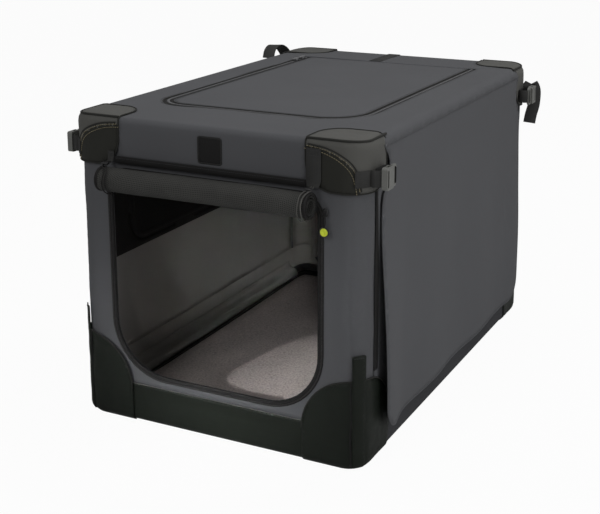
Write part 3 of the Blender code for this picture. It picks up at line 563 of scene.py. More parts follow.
def beads(name, path, ways, size, pitch, material):
    """Many small soft blocks along a path: stitches or zip teeth.

    size is the block's length along the path, its width, and its height along the ways.
    """
    path = [Vector(p) for p in path]
    far = running(path)
    slices = ((-0.5, 0.72), (-0.25, 1.0), (0.25, 1.0), (0.5, 0.72))
    sides = 6
    verts, faces = [], []
    index = 0
    for k in range(int(far[-1] / pitch)):
        place = (k + 0.5) * pitch
        while index + 2 < len(far) and far[index + 1] < place:
            index += 1
        t = (place - far[index]) / max(far[index + 1] - far[index], 1e-9)
        middle = path[index].lerp(path[index + 1], t)
        way = (path[index + 1] - path[index]).normalized()
        if isinstance(ways, list):
            up = ways[index].lerp(ways[index + 1], t).normalized()
        else:
            up = Vector(ways)
        up = (up - way * up.dot(way)).normalized()
        side = way.cross(up)
        first = len(verts)
        for along, grow in slices:
            w, h = size[1] / 2 * grow, size[2] / 2 * grow
            ring = [(-w, -h), (w, -h), (w, h * 0.4), (w * 0.5, h), (-w * 0.5, h), (-w, h * 0.4)]
            verts += [middle + way * along * size[0] + side * i + up * j for i, j in ring]
        last = len(verts) - sides
        for a in range(first, last, sides):
            for j in range(sides):
                i = (j + 1) % sides
                faces.append((a + j, a + i, a + sides + i, a + sides + j))
        faces.append(tuple(range(first, first + sides))[::-1])
        faces.append(tuple(range(last, last + sides)))
    obj = to_object(name, verts, faces, material, [(v.x + v.y, v.z, 0) for v in verts])
    mend(obj)
    obj.data.set_sharp_from_angle(angle=math.radians(60))
    return obj


def ripple(seed, height, scale, stretch=(1.0, 1.0), detail=0.35, level=0.0):
    """A soft relief of two sizes of noise over a level."""

    def relief(u, v):
        x, y = u * scale * stretch[0], v * scale * stretch[1]
        coarse = noise.noise(Vector((x, y, seed)))
        fine = noise.noise(Vector((x * 3.1, y * 3.1, seed + 7)))
        return level + height * (coarse + detail * fine)

    return relief


def dress(obj, body, slot, *nodes, squash=None):
    """Rides a piece on its body, hides the solids that it stands for, and gives it a mesh of its
    own where a squash is given. The slot is not used.
    """
    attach(obj, body)
    if nodes:
        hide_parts(*nodes)
    if squash:
        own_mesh(obj)
    return obj


# ---------------------------------------------------------------- places on the cover


def wall_place(s, z, lift=0.0, inset=SKIN, end=1):
    """A place on the upright cover; s runs round the plan from the middle of an end wall."""
    a = abs(s)
    r = CORNER - inset + lift
    if a <= STRAIGHT:
        x, y = a, HALF_LENGTH - CORNER + r
    elif a <= SIDE_START:
        turn = (a - STRAIGHT) / CORNER
        x, y = STRAIGHT + r * math.sin(turn), HALF_LENGTH - CORNER + r * math.cos(turn)
    else:
        x, y = STRAIGHT + r, HALF_LENGTH - CORNER - (a - SIDE_START)
    return (math.copysign(x, s), -end * y, z)


def crease(turn, share):
    """How far the cloth stands out of the round bend where it is creased, as a share of radius."""
    c, s = abs(math.cos(turn)), abs(math.sin(turn))
    return ((c**CREASE + s**CREASE) ** (-1 / CREASE) - 1) * share**2


def roof_place(u, v, lift=0.0, inset=SKIN):
    """A place on the roof cloth, which bends down over its edges, sharply at both ends."""
    over_x = max(abs(u) - (INNER_X - INNER_RADIUS), 0.0)
    over_y = max(abs(v) - (INNER_Y - INNER_RADIUS), 0.0)
    reach = math.hypot(over_x, over_y)
    past = reach - INNER_RADIUS
    if past <= 0:
        return (u, v, HEIGHT - inset + lift)
    turn = min(past / EDGE, math.pi / 2)
    r = EDGE - inset
    r += lift + r * crease(turn, over_y / reach)
    out = INNER_RADIUS + r * math.sin(turn)
    x = min(abs(u), INNER_X - INNER_RADIUS) + over_x / reach * out
    y = min(abs(v), INNER_Y - INNER_RADIUS) + over_y / reach * out
    z = HEIGHT - EDGE + r * math.cos(turn) - max(0.0, past - EDGE_BEND)
    return (math.copysign(x, u), math.copysign(y, v), z)


def base_corner_place(sign, half, inset=0.0):
    """Places on the foot of the cover, which is rounded under, at one of its corners."""

    def place(s, z, lift):
        depth = z + SKIN
        under = 0.0
        if depth < EDGE:
            under = EDGE - math.sqrt(EDGE**2 - (EDGE - depth) ** 2)
        x, y, height = wall_place(s, z, lift, inset + under, sign)
        return (half * x, y, height)

    return place


def side_place(sign, depth):
    """Places on a side wall, at a depth under the solids' outer face."""
    return lambda y, z, lift: (sign * (HALF_WIDTH - depth + lift), y, z)


def end_place(face, way=1):
    """Places on a flat face across the crate's length."""
    return lambda x, z, lift: (x, face + way * lift, z)


def along_s(x):
    """The distance round the plan of a place on the end wall, from its X."""
    if abs(x) <= STRAIGHT:
        return x
    return math.copysign(STRAIGHT + CORNER * math.asin((abs(x) - STRAIGHT) / CORNER), x)


# ---------------------------------------------------------------- cover


def doorway(spread=0.0):
    half, low, high = DOOR_HALF + spread, DOOR_LOW - spread, DOOR_HIGH + spread
    return rounded(-half, half, low, high, 0.090 + spread, 0.030 + spread)


def window(spread=0.0):
    half = 0.250 + spread
    return rounded(-half, half, 0.255 - spread, 0.450 + spread, 0.040 + spread)


def make_end_walls():
    """Front and rear walls, wrapped round the corners, each with a doorway."""
    reach = SIDE_START + (HALF_LENGTH - CORNER - WRAP_END)
    for end, sign in ENDS:
        soft = ripple(3.0 * sign + 5, 0.0018, 11.0, (1.0, 0.7))

        def relief(s, z):
            past_x = max(abs(s) - DOOR_HALF, 0.0)
            past_z = max(z - DOOR_HIGH, DOOR_LOW - z, 0.0)
            near = 1 - smooth_step(math.hypot(past_x, past_z), 0.012, 0.026)
            return (soft(s, z) - 0.0020) * (1 - near) - BINDING_SINK * near

        wall = sheet(
            f"{end}_cover", block(reach, WALL_LOW, WALL_HIGH),
            lambda s, z, lift: wall_place(s, z, lift, end=sign), 0.0085, "front",
            holes=[doorway()], relief=relief, fade=0.0, thickness=WALL_CLOTH, inner="lining",
        )
        dress(wall, "base", "front_cloth", f"{end}_wall", squash=WALL_FOLD)


def make_side_walls():
    """Side walls behind the flaps, with mesh windows."""
    for side, sign in SIDES:
        wall = sheet(
            f"{side}_cover", block(WRAP_END - 0.0004, WALL_LOW, WALL_HIGH), side_place(sign, SKIN),
            0.011, "cover", holes=[window()], relief=ripple(9.0 + sign, 0.0010, 12.0),
            thickness=WALL_CLOTH, inner="lining",
        )
        dress(wall, "base", "cover_cloth", f"{side}_wall", squash=WALL_FOLD)
        net = sheet(
            f"{side}_window_net", window(0.012), side_place(sign, LINING + 0.0005), 0.016, "mesh",
            relief=ripple(2.0 + sign, 0.0006, 9.0),
        )
        dress(net, "base", "lining_mesh", f"{side}_mesh_window", squash=WALL_FOLD)
        facing = sheet(
            f"{side}_window_facing", rounded(-0.322, 0.322, 0.240, 0.465, 0.020),
            side_place(sign, LINING + 0.0009), 0.016, "mesh", holes=[window(0.004)],
            thickness=0.0006,
        )
        dress(facing, "base", "lining_mesh", squash=WALL_FOLD)
        edge = laid(window(-0.004), 0.008, side_place(sign, LINING + 0.0012))
        ways = across(edge, (1, 0, 0))
        tape = band(f"{side}_window_tape", edge, ways, 0.010, 0.0012, "edge_tape", closed=True)
        dress(tape, "base", "webbing", squash=WALL_FOLD)


def make_binding():
    """The doorway's binding: an outer tape, an inner rolled edge and the zip between them."""
    for end, sign in ENDS:
        face = -sign * (FRONT_CLOTH_Y - BINDING_SINK + 0.0009)
        outer = laid(doorway(0.0048), 0.006, end_place(face))
        ways = across(outer, (0, 1, 0))
        tape = band(f"{end}_doorway_tape", outer, ways, 0.0082, 0.0016, "edge_tape", closed=True)
        inner = laid(doorway(0.0012), 0.006, end_place(face + sign * 0.0006))
        roll = cord(f"{end}_doorway_piping", inner, 0.0026, "edge_tape", closed=True)
        nodes = ["front_door_binding"] if end == "front" else []
        dress(tape, "base", "webbing", *nodes, squash=WALL_FOLD)
        dress(roll, "base", "webbing", squash=WALL_FOLD)
        teeth = laid(doorway(0.0062), 0.006, end_place(face - sign * 0.0010))
        size = (0.0011, 0.0022, 0.0010)
        row = beads(
            f"{end}_doorway_coil", teeth + teeth[:1], (0, -sign, 0), size, 0.0021, "binding"
        )
        dress(row, "base", "zip_metal", squash=WALL_FOLD)


def hatch_outline(spread=0.0):
    left, right = 0.046, 0.074
    side = HATCH_HALF + spread
    return (
        arc((-HATCH_HALF + left, HATCH_FRONT + left), left + spread, 180, 270, 12)
        + arc((HATCH_HALF - right, HATCH_FRONT + right), right + spread, 270, 360, 14)
        + [(side, HATCH_REAR), (-side, HATCH_REAR)]
    )


def make_roof():
    """Roof cloth and the hatch in it."""
    depth = EDGE_BEND + ROOF_SKIRT - EDGE
    x, y = INNER_X + depth, INNER_Y + depth
    sag = ripple(1.5, 0.0016, 5.5, (1.0, 0.8), 0.5, level=0.0008)

    def relief(u, v):
        side = smooth_step(abs(u), INNER_X, INNER_X + EDGE_BEND)
        side *= smooth_step(0.340 - abs(v), 0, 0.02)
        flat = smooth_step(INNER_X - abs(u), 0, 0.05) * smooth_step(INNER_Y - abs(v), 0, 0.05)
        return 0.0038 * side + sag(u, v) * flat

    roof = sheet(
        "roof_cover", rounded(-x, x, -y, y, INNER_RADIUS + depth, steps=16), roof_place, 0.0075,
        "cover", holes=[hatch_outline(ZIP_HALF)], fade=0.0, relief=relief, inner="cover",
    )
    dress(roof, "top", "cover_cloth", "roof_panel")
    hatch = sheet(
        "hatch_cloth", hatch_outline(-ZIP_HALF), lambda u, v, lift: (u, v, TOP_LEVEL + lift),
        0.0105, "cover", relief=ripple(4.5, 0.0020, 5.0, (1.0, 0.8), 0.5, level=0.0012),
        fade=0.06, thickness=0.0014, inner="cover",
    )
    dress(hatch, "hatch", "cover_cloth", "hatch_panel")
    make_hatch_zip()


def make_hatch_zip():
    """The zip let in round the hatch: two tapes, the coil, two lips and their stitches."""
    rear = HATCH_REAR - 0.002
    left = resample([(-HATCH_HALF, rear), (-HATCH_HALF, -0.22)], 0.008, closed=False)[:-1]
    rest = resample(hatch_outline()[:-2] + [(HATCH_HALF, rear)], 0.006, closed=False)
    run = [Vector((x, y, 0)) for x, y in (*left, *rest)]
    ways = across(run, UP, closed=False)

    def beside(shift, z):
        return [p + w * shift + Vector((0, 0, z)) for p, w in zip(run, ways)]

    level = TOP_LEVEL - 0.0016
    for name, body, shift in (("roof", "top", 0.0047), ("hatch", "hatch", -0.0047)):
        tape = band(f"{name}_zip_tape", beside(shift, level), ways, 0.0090, 0.0009, "edge_tape")
        dress(tape, body, "webbing")
    size = (0.0014, 0.0046, 0.0017)
    coil = beads("hatch_zip_coil", beside(0.0, level + 0.0010), UP, size, 0.0023, "teeth")
    dress(coil, "top", "zip_metal")
    reach = ZIP_HALF + 0.0006
    for name, body, shift in (("roof", "top", reach), ("hatch", "hatch", -reach)):
        lip = cord(f"{name}_zip_lip", beside(shift, TOP_LEVEL - 0.0009), HEM, "piping")
        dress(lip, body, "cover_cloth")
        path = beside(shift * 1.35, TOP_LEVEL + 0.0002)
        sewn = beads(f"{name}_zip_stitches", path, UP, LONG_STITCH, 0.0034, "dark_thread")
        dress(sewn, body, "webbing")
    seam = [(x, 0.2868, TOP_LEVEL - 0.0002) for x in np.linspace(-0.180, 0.180, 40)]
    dress(cord("hatch_rear_seam", seam, HEM, "cover"), "top", "cover_cloth")


def make_front_facing():
    """The roof cloth's front drop, from its crease down to the rolled door's strip."""
    top, foot = -(INNER_Y + EDGE * 0.80), -(INNER_Y + EDGE_BEND + 0.0500)
    facing = sheet(
        "front_facing", block(0.1635, foot, top),
        lambda u, v, lift: roof_place(u, v, lift + 0.0009), 0.008, "front",
        relief=ripple(7.7, 0.0005, 9.0, level=0.0003), fade=0.012, thickness=0.0006,
    )
    dress(facing, "top", "front_cloth")


def make_rear_tab():
    """Webbing tab that runs from the hatch's seam over the rear edge."""
    stations = np.linspace(0.2885, INNER_Y + EDGE_BEND + 0.010, 26)
    path = [roof_place(-0.028, v, 0.0009) for v in stations]
    tab = band("rear_tab", path, (1, 0, 0), 0.025, WEBBING, "webbing")
    dress(tab, "top", "webbing", "hatch_tie")
    left, right, low, high = -0.036, -0.020, 0.294, 0.310
    box = [(left, low), (right, low), (right, high), (left, high), (left, low), (right, high)]
    path = laid(box, 0.004, lambda x, y, lift: (x, y, TOP_LEVEL + 0.0017), closed=False)
    sewn = beads("rear_tab_stitches", path, UP, STITCH, STITCH_PITCH, "dark_thread")
    dress(sewn, "top", "webbing")


def patch_outline():
    """A top corner patch in the roof cloth's flat coordinates, for +X and -Y."""
    drop = EDGE_BEND + 0.078 - EDGE
    x, y = 0.162, 0.322
    far_x, far_y, r = INNER_X + drop, INNER_Y + drop, INNER_RADIUS + drop
    lower = arc((x + 0.044, -far_y + 0.044), 0.044, 180, 270, 10)
    turn = arc((INNER_X - INNER_RADIUS, -(INNER_Y - INNER_RADIUS)), r, 270, 360, 20)
    upper = arc((far_x - 0.040, -y - 0.040), 0.040, 0, 90, 10)
    inner = arc((x + 0.040, -y - 0.040), 0.040, 90, 180, 8)
    return lower + turn[1:-1] + upper + inner


def make_top_patches():
    """Reinforced patches over the top corners, with a rolled seam and tan stitching."""
    for name, sign, half in CORNERS:

        def place(u, v, lift):
            x, y, z = roof_place(u, v, lift, 0.0)
            return (half * x, sign * y, z)

        patch = sheet(
            f"{name}_top_patch", patch_outline(), place, 0.0065, "corner",
            relief=ripple(3.0 * half + 1.7 * sign, 0.0011, 26.0, level=0.0008), fade=0.012,
            thickness=PATCH_CLOTH - 0.0003,
        )
        patch.data.materials.append(MATERIALS["corner_top"])
        for polygon in patch.data.polygons:
            x, y, z = polygon.center
            if beyond_arc(abs(x), abs(y), z):
                polygon.material_index = 1
        dress(patch, "top", "corner_cloth", f"{name}_top_corner")
        rim = laid(patch_outline(), 0.006, place, 0.0002)
        hem = cord(f"{name}_top_patch_hem", rim, HEM, "piping", sides=6, closed=True)
        dress(hem, "top", "corner_cloth")
        past = EDGE * 0.72
        centre = (INNER_X - INNER_RADIUS, -(INNER_Y - INNER_RADIUS))
        line = [(0.1625, -(INNER_Y + past)), *arc(centre, INNER_RADIUS + past, 270, 360, 12)]
        ridge = laid(line + [(INNER_X + past, -0.3145)], 0.006, place, 0.0010, closed=False)
        dress(cord(f"{name}_patch_piping", ridge, 0.0020, "piping"), "top", "corner_cloth")
        make_patch_stitches(name, half, sign)


STITCH_ARC = (
    (0.1640, 0.4985), (0.189, 0.4955), (0.210, 0.489), (0.227, 0.479),
    (0.2365, 0.466), (0.241, 0.449), (0.243, 0.4335),
)


def beyond_arc(x, y, z):
    """Whether a place on a top patch lies above or outside its stitched arc."""
    places, heights = zip(*STITCH_ARC)
    if z > heights[0] or y < 0.385 or x >= places[-1]:
        return True
    return z > np.interp(x, places, heights)


def make_patch_stitches(name, half, sign):
    """A rolled seam and two rows of tan thread that curve over the patch's end face."""
    line = curved([(along_s(x) + 0.0022, z + 0.0026, 0) for x, z in STITCH_ARC], 0.004)
    path = [wall_place(half * p.x, p.y, 0.0012, 0.0, sign) for p in line]
    dress(cord(f"{name}_patch_seam", path, 0.0012, "piping"), "top", "corner_cloth")
    for row, shift in enumerate((0.0, 0.0055)):
        line = [(along_s(x) - shift * 0.75, z - shift * 0.8, 0) for x, z in STITCH_ARC]
        path = [wall_place(half * p.x, p.y, 0.0015, 0.0, sign) for p in curved(line, 0.003)]
        ways = []
        for p in path:
            turn = max(abs(p[0]) - STRAIGHT, 0.0) / CORNER
            ways.append(Vector((half * turn, -sign * math.sqrt(max(1 - turn**2, 0.05)), 0)))
        size = (0.0029, 0.0007, 0.0006)
        sewn = beads(f"{name}_patch_stitches_{row}", path, ways, size, 0.0040, "thread")
        dress(sewn, "top", "corner_cloth")


def base_patch_outline():
    """A base corner patch round the plan and upwards, for the right side."""
    low, high = 0.0004, 0.146
    start, end = 0.154, SIDE_START + (HALF_LENGTH - CORNER - 0.302)
    r = 0.088
    left = arc((start + r, high - r), r, 180, 92, 12)
    right = arc((end - r * 0.92, high - r), r, 88, 0, 12)
    return [(start, low)] + left + right + [(end, low)]


def make_base_patches():
    """Coated patches round the base corners, with a bound edge."""
    outline = base_patch_outline()
    for name, sign, half in CORNERS:
        place = base_corner_place(sign, half)
        patch = sheet(
            f"{name}_base_patch", outline, place, 0.0065, "coated",
            relief=ripple(2.3 * half + 5.1 * sign, 0.0016, 19.0, (1.0, 0.8), 0.6), fade=0.012,
            thickness=PATCH_CLOTH,
        )
        dress(patch, "base", "corner_cloth", f"{name}_base_corner", squash=PATCH_FOLD)
        rim = laid(outline[1:-1], 0.006, place, 0.0002, closed=False)
        hem = cord(f"{name}_base_patch_hem", rim, HEM, "piping", sides=6)
        dress(hem, "base", "corner_cloth", squash=PATCH_FOLD)


def make_corner_uprights():
    """A coated strip up each base corner, sewn down beside the patch's seam."""
    outline = rounded(0.2370, 0.2585, 0.0040, 0.1860, 0.003, steps=3)
    for name, sign, half in CORNERS:
        place = base_corner_place(sign, half, -0.0016)
        strip = sheet(
            f"{name}_upright", outline, place, 0.005, "coated",
            relief=ripple(half + 2 * sign, 0.0008, 30.0), fade=0.004, thickness=PATCH_CLOTH,
        )
        dress(strip, "base", "corner_cloth", squash=UPRIGHT_FOLD)
        heights = np.linspace(0.006, 0.145, 30)
        seam = [place(0.2352 + 0.0006 * math.sin(z * 90), z, -0.0012) for z in heights]
        line = cord(f"{name}_upright_seam", seam, 0.0013, "edge_tape", sides=6)
        dress(line, "base", "corner_cloth", squash=UPRIGHT_FOLD)
        head = [place(s, 0.1825, 0.0004) for s in np.linspace(0.2392, 0.2562, 10)]
        way = Vector((half, -0.7 * sign, 0)).normalized()
        sewn = beads(
            f"{name}_upright_stitches", head, way, BAR_STITCH, STITCH_PITCH, "dark_thread"
        )
        dress(sewn, "base", "corner_cloth", squash=UPRIGHT_FOLD)


def plan_loop(inset):
    """Points round the plan of the crate at an inset, with finer corners."""
    r = CORNER - inset
    x, y = STRAIGHT, HALF_LENGTH - CORNER
    corners = ((-x, -y, 180), (x, -y, 270), (x, y, 0), (-x, y, 90))
    line = []
    for k, (cx, cy, start) in enumerate(corners):
        line += arc((cx, cy), r, start, start + 90, 10)
        nx, ny, begin = corners[(k + 1) % 4]
        a = Vector(line[-1])
        b = Vector(arc((nx, ny), r, begin, begin + 90, 1)[0])
        count = 60 if k % 2 else 40
        line += [tuple(a.lerp(b, i / count)) for i in range(1, count)]
    return line


def make_tray():
    """The coated tray of the base, rounded under and hemmed on top."""
    profile = [(EDGE + 0.055, 0.0), (EDGE + 0.02, 0.0)]
    profile += arc((EDGE, EDGE - SKIN), EDGE - SKIN, 270, 180, 6)
    profile += [(SKIN, 0.030), (SKIN, 0.045), (SKIN + 0.0006, 0.058), (SKIN, 0.0605)]
    profile += [(SKIN - 0.0001, 0.0640), (SKIN, 0.0664), (SKIN + 0.0006, 0.0671)]
    profile += [(LINING - 0.0006, 0.0669), (LINING, 0.0655), (LINING, 0.040), (LINING, 0.018)]
    rows = []
    for inset, z in profile:
        row = []
        for x, y in plan_loop(inset):
            swell = 0.0
            if 0.01 < z < 0.06 and inset < LINING:
                swell = 0.0011 * noise.noise(Vector((x * 14, y * 14, z * 20)))
            grow = 1 + min(swell - 0.0003, 0.0) / HALF_WIDTH
            row.append((x * grow, y * grow, z))
        rows.append(row)
    lengths = running([(i, z, 0) for i, z in profile])
    tray = loft("tray", rows, "coated", caps=1, lengths=lengths)
    tray.data.materials.append(MATERIALS["side_band"])
    tray.data.materials.append(MATERIALS["lining"])
    for polygon in tray.data.polygons:
        middle, normal = polygon.center, polygon.normal
        if middle.x * normal.x + middle.y * normal.y < 0 and middle.z > 0.010:
            polygon.material_index = 2
        elif middle.z > 0.004 and abs(normal.x) > 0.8 and abs(middle.y) < 0.36:
            polygon.material_index = 1
    flat = tray.data.attributes["flat"].data
    for vertex, kept in zip(tray.data.vertices, flat):
        kept.vector = (vertex.co.x + vertex.co.y, vertex.co.z, 0)
    dress(tray, "base", "band_cloth", "base_tray")


def make_side_strips():
    """The bound edge of the end cloth on each side, narrower towards its head; its dark colour is
    painted shade for the gap behind each flap's front edge.
    """
    heights = np.linspace(0.150, 0.455, 34)
    widths = [float(np.interp(z, (0.30, 0.455), (0.0145, 0.0050))) for z in heights]
    for name, sign, half in CORNERS:
        x = half * (HALF_WIDTH - SKIN - 0.0006)
        path = [(x, -sign * (0.3534 - w / 2), z) for z, w in zip(heights, widths)]
        # Painted shade: the dark tape colour stands for the shadow in the gap between the flap's
        # front edge and the wall.
        strip = band(f"{name}_edge_strip_painted_shade", path, (0, 1, 0), widths, 0.0018, "edge_tape")
        dress(strip, "base", "front_cloth", squash=WALL_FOLD)


# ---------------------------------------------------------------- flaps

FLAP_NOTCH = [
    (0.339, 0.150), (0.340, 0.250), (0.340, 0.380), (0.339, 0.405), (0.335, 0.420), (0.320, 0.434),
    (0.314, 0.446), (0.314, 0.466), (0.320, 0.478), (0.328, 0.487), (0.332, FLAP_HEAD),
]


def flap_outline():
    """The flap from the side: rounded feet, and notches for the buckles."""
    r = 0.044
    foot = arc((-FLAP_HALF + r, 0.044 + r), r, 180, 270, 8)
    foot += arc((FLAP_HALF - r, 0.044 + r), r, 270, 360, 8)
    return foot + FLAP_NOTCH + [(-y, z) for y, z in FLAP_NOTCH[::-1]]


def make_flaps():
    """Full-height flaps that hang from the roof's edge in soft folds."""
    length, drop = 0.676, 0.464
    for side, sign in SIDES:
        billow = ripple(6.0 * sign, 0.0026, 4.6, (1.0, 0.8), 0.35)

        def relief(y, z):
            hang = (FLAP_HEAD - z) / drop
            wave = 0.0024 * hang * (1 + math.cos(math.tau * 3 * (y + FLAP_HALF) / length))
            belly = 0.0040 * math.exp(-(((z - 0.14) / 0.11) ** 2) - ((y - 0.22) / 0.20) ** 2)
            low = smooth_step(0.40 - z, 0.0, 0.22)
            loose = 0.0085 * smooth_step(-y, 0.24, 0.335) * low
            loose += 0.0035 * smooth_step(y, 0.26, 0.335) * low
            seam = -0.0012 + 0.0014 * smooth_step(hang, 0.0, 0.06)
            return wave + belly + loose + seam + billow(y, z) * smooth_step(hang, 0.02, 0.3)

        place = side_place(sign, -0.0026)
        edge = flap_outline()
        flap = sheet(
            f"{side}_flap_cloth", edge, place, 0.0095, "flap", relief=relief, fade=0.0,
            thickness=0.0016, inner="cover",
        )
        dress(flap, f"{side}_flap", "cover_cloth", f"{side}_flap", squash=FLAP_FOLD)
        rim = resample(edge[-len(FLAP_NOTCH):] + edge[:29], 0.008, closed=False)
        rim = [place(y, z, relief(y, z) - 0.0008) for y, z in rim if z < 0.470]
        hem = cord(f"{side}_flap_hem", rim, 0.0013, "flap", sides=6)
        dress(hem, f"{side}_flap", "cover_cloth", squash=FLAP_FOLD)


# ---------------------------------------------------------------- doors


def make_roll():
    """The mesh door wound up over the doorway, a little loose at its ends."""
    steps, turns, pitch = 84, 2.6, 0.0034

    def wound(x, k):
        """The share of the roll that is wound at a step, with its angle and radius there."""
        turn = turns * k / steps
        return k / steps, math.tau * turn + 0.10 * math.sin(x * 21), (turns - turn) * pitch

    stations = [-0.181, -0.178, *np.linspace(-0.171, 0.171, 42), 0.178, 0.181]
    rows = []
    for x in stations:
        loose = smooth_step(abs(x), 0.13, 0.181)
        sag = 0.0012 * math.sin(x * 13 + 1) * 0.5
        outer_row, inner_row = [], []
        for k in range(steps + 1):
            outer, angle, less = wound(x, k)
            place = (x * 16, math.cos(angle) * 1.1, math.sin(angle) * 1.1 + 3)
            radius = 0.0208 - less + 0.0011 * noise.noise(Vector(place)) * outer
            radius -= (1 - outer) * 0.0022 * loose
            for row, r in ((outer_row, radius), (inner_row, radius - 0.0016)):
                y, z = ROLL_Y - r * math.cos(angle), ROLL_Z + r * math.sin(angle) + sag
                row.append((x, y, z))
        rows.append(outer_row + inner_row[::-1])
    roll = loft("door_roll", rows, "roll", lengths=stations)
    dress(roll, "top", "door_mesh", "rolled_front_door")
    for side, x in (("left", -0.1795), ("right", 0.1795)):
        path = []
        for k in range(steps // 3, steps + 1):
            _, angle, less = wound(x, k)
            r = 0.0206 - less
            path.append((x, ROLL_Y - r * math.cos(angle), ROLL_Z + r * math.sin(angle)))
        hem = band(f"door_roll_{side}_hem", path, (1, 0, 0), 0.0055, 0.0022, "edge_tape")
        dress(hem, "top", "webbing")


def make_storm_strip():
    """The folded strip that the rolled door hangs from, with its row of stitches."""
    y, low, high = -0.4003, 0.4367, 0.4475
    xs = np.linspace(-0.1695, 0.1635, 60)
    rows = []
    for x in xs:
        wave = 0.0005 * math.sin(x * 40) + 0.0004 * math.sin(x * 97)
        section = [(y, low), (y - 0.0014, low - 0.0002), (y - 0.0024 - wave, low + 0.003)]
        section += [(y - 0.0022, high - 0.004), (y - 0.0010, high), (y, high)]
        rows.append([(x, a, b) for a, b in section])
    strip = loft("door_head_strip", rows, "edge_tape", lengths=list(xs))
    dress(strip, "top", "webbing", "storm_strip")
    path = [(x, -0.4026, 0.4445) for x in xs]
    sewn = beads("door_head_stitches", path, (0, -1, 0), LONG_STITCH, 0.0036, "dark_thread")
    dress(sewn, "top", "webbing")


def make_roll_ties():
    """Webbing down the wall, a small adjuster, and an elastic loop round the roll."""
    wall = -0.4003 - 0.0021
    ties = (
        ("left", -0.176, 0.4555, 0.012, 0.014, 0.003, "edge_tape"),
        ("right", 0.176, 0.4955, 0.024, -0.003, 0.011, "elastic"),
    )
    for side, x, high, width, drift, low, yarn in ties:
        down = [(x, wall, z) for z in np.linspace(high, 0.4475, 10)]
        down += [(x, wall - 0.0012, 0.4430), (x, wall - 0.0030, 0.4385)]
        widths = [width] * 10 + [width * 0.9, width * 0.8]
        tab = band(f"{side}_tie_tab", down, (1, 0, 0), widths, WEBBING, "webbing")
        dress(tab, "top", "webbing", f"{side}_roll_tie")
        for k, shift in enumerate((-0.0028, 0.0028)):
            path = [(x + shift * 0.6, wall - 0.0022, 0.4392)]
            for i, (y, z) in enumerate(arc((ROLL_Y, ROLL_Z), 0.0220, 78, 300, 34)):
                along = x + drift * smooth_step(i, 0, 10) + shift * (1 + 0.2 * math.sin(i * 0.4))
                path.append((along, y, z))
            dress(cord(f"{side}_tie_elastic_{k}", path, 0.0009, yarn), "top", "webbing")
        toggle(f"{side}_tie_adjuster", Vector((x, ROLL_Y + 0.004, ROLL_Z + 0.0242)))
        left, right, head, foot = x - width * 0.38, x + width * 0.38, high - 0.003, high - low
        box = [(left, head), (right, head), (right, foot), (left, foot), (left, head)]
        line = laid(box, 0.004, end_place(wall - 0.0008), closed=False)
        sewn = beads(
            f"{side}_tie_stitches", line, (0, -1, 0), STITCH, STITCH_PITCH, "dark_thread"
        )
        dress(sewn, "top", "webbing")


def toggle(name, place):
    """A small rounded plastic adjuster."""
    bm = bmesh.new()
    bmesh.ops.create_cube(bm, size=1.0)
    bmesh.ops.scale(bm, vec=(0.0105, 0.0070, 0.0036), verts=bm.verts)
    bmesh.ops.bevel(
        bm, geom=bm.edges[:], offset=0.0011, segments=3, profile=0.5, affect="EDGES"
    )
    bmesh.ops.translate(bm, vec=place, verts=bm.verts)
    mesh = bpy.data.meshes.new(name)
    bm.to_mesh(mesh)
    bm.free()
    dress(add_object(name, mesh, MATERIALS["socket"]), "top", "buckle_plastic")


def make_rear_door():
    """The closed rear door: a mesh panel in a cloth frame, and the zip's flange behind it."""
    face = FRONT_CLOTH_Y - 0.0002
    inner = rounded(-0.128, 0.128, 0.170, 0.378, 0.045, 0.030)
    door = sheet(
        "rear_door_cloth", doorway(-0.0022), end_place(face), 0.011, "front", holes=[inner],
        relief=ripple(8.2, 0.0010, 12.0), thickness=0.0026, inner="lining",
    )
    dress(door, "rear_door", "front_cloth", "rear_door", squash=WALL_FOLD)
    net = sheet(
        "rear_door_net", rounded(-0.136, 0.136, 0.162, 0.386, 0.05, 0.036), end_place(0.3962),
        0.016, "mesh", relief=ripple(1.2, 0.0006, 8.0), thickness=0.0008,
    )
    dress(net, "rear_door", "lining_mesh", squash=WALL_FOLD)
    rim = laid(inner, 0.007, end_place(face))
    edge = cord("rear_door_net_binding", rim, 0.0016, "edge_tape", sides=6, closed=True)
    dress(edge, "rear_door", "webbing", squash=WALL_FOLD)
    line = laid(doorway(-0.0010), 0.006, end_place(FRONT_CLOTH_Y - 0.0066))
    ways = across(line, (0, 1, 0))
    flange = band("rear_doorway_flange", line, ways, 0.0090, 0.0008, "edge_tape", closed=True)
    dress(flange, "base", "webbing", squash=WALL_FOLD)


# ---------------------------------------------------------------- straps, zips and small parts


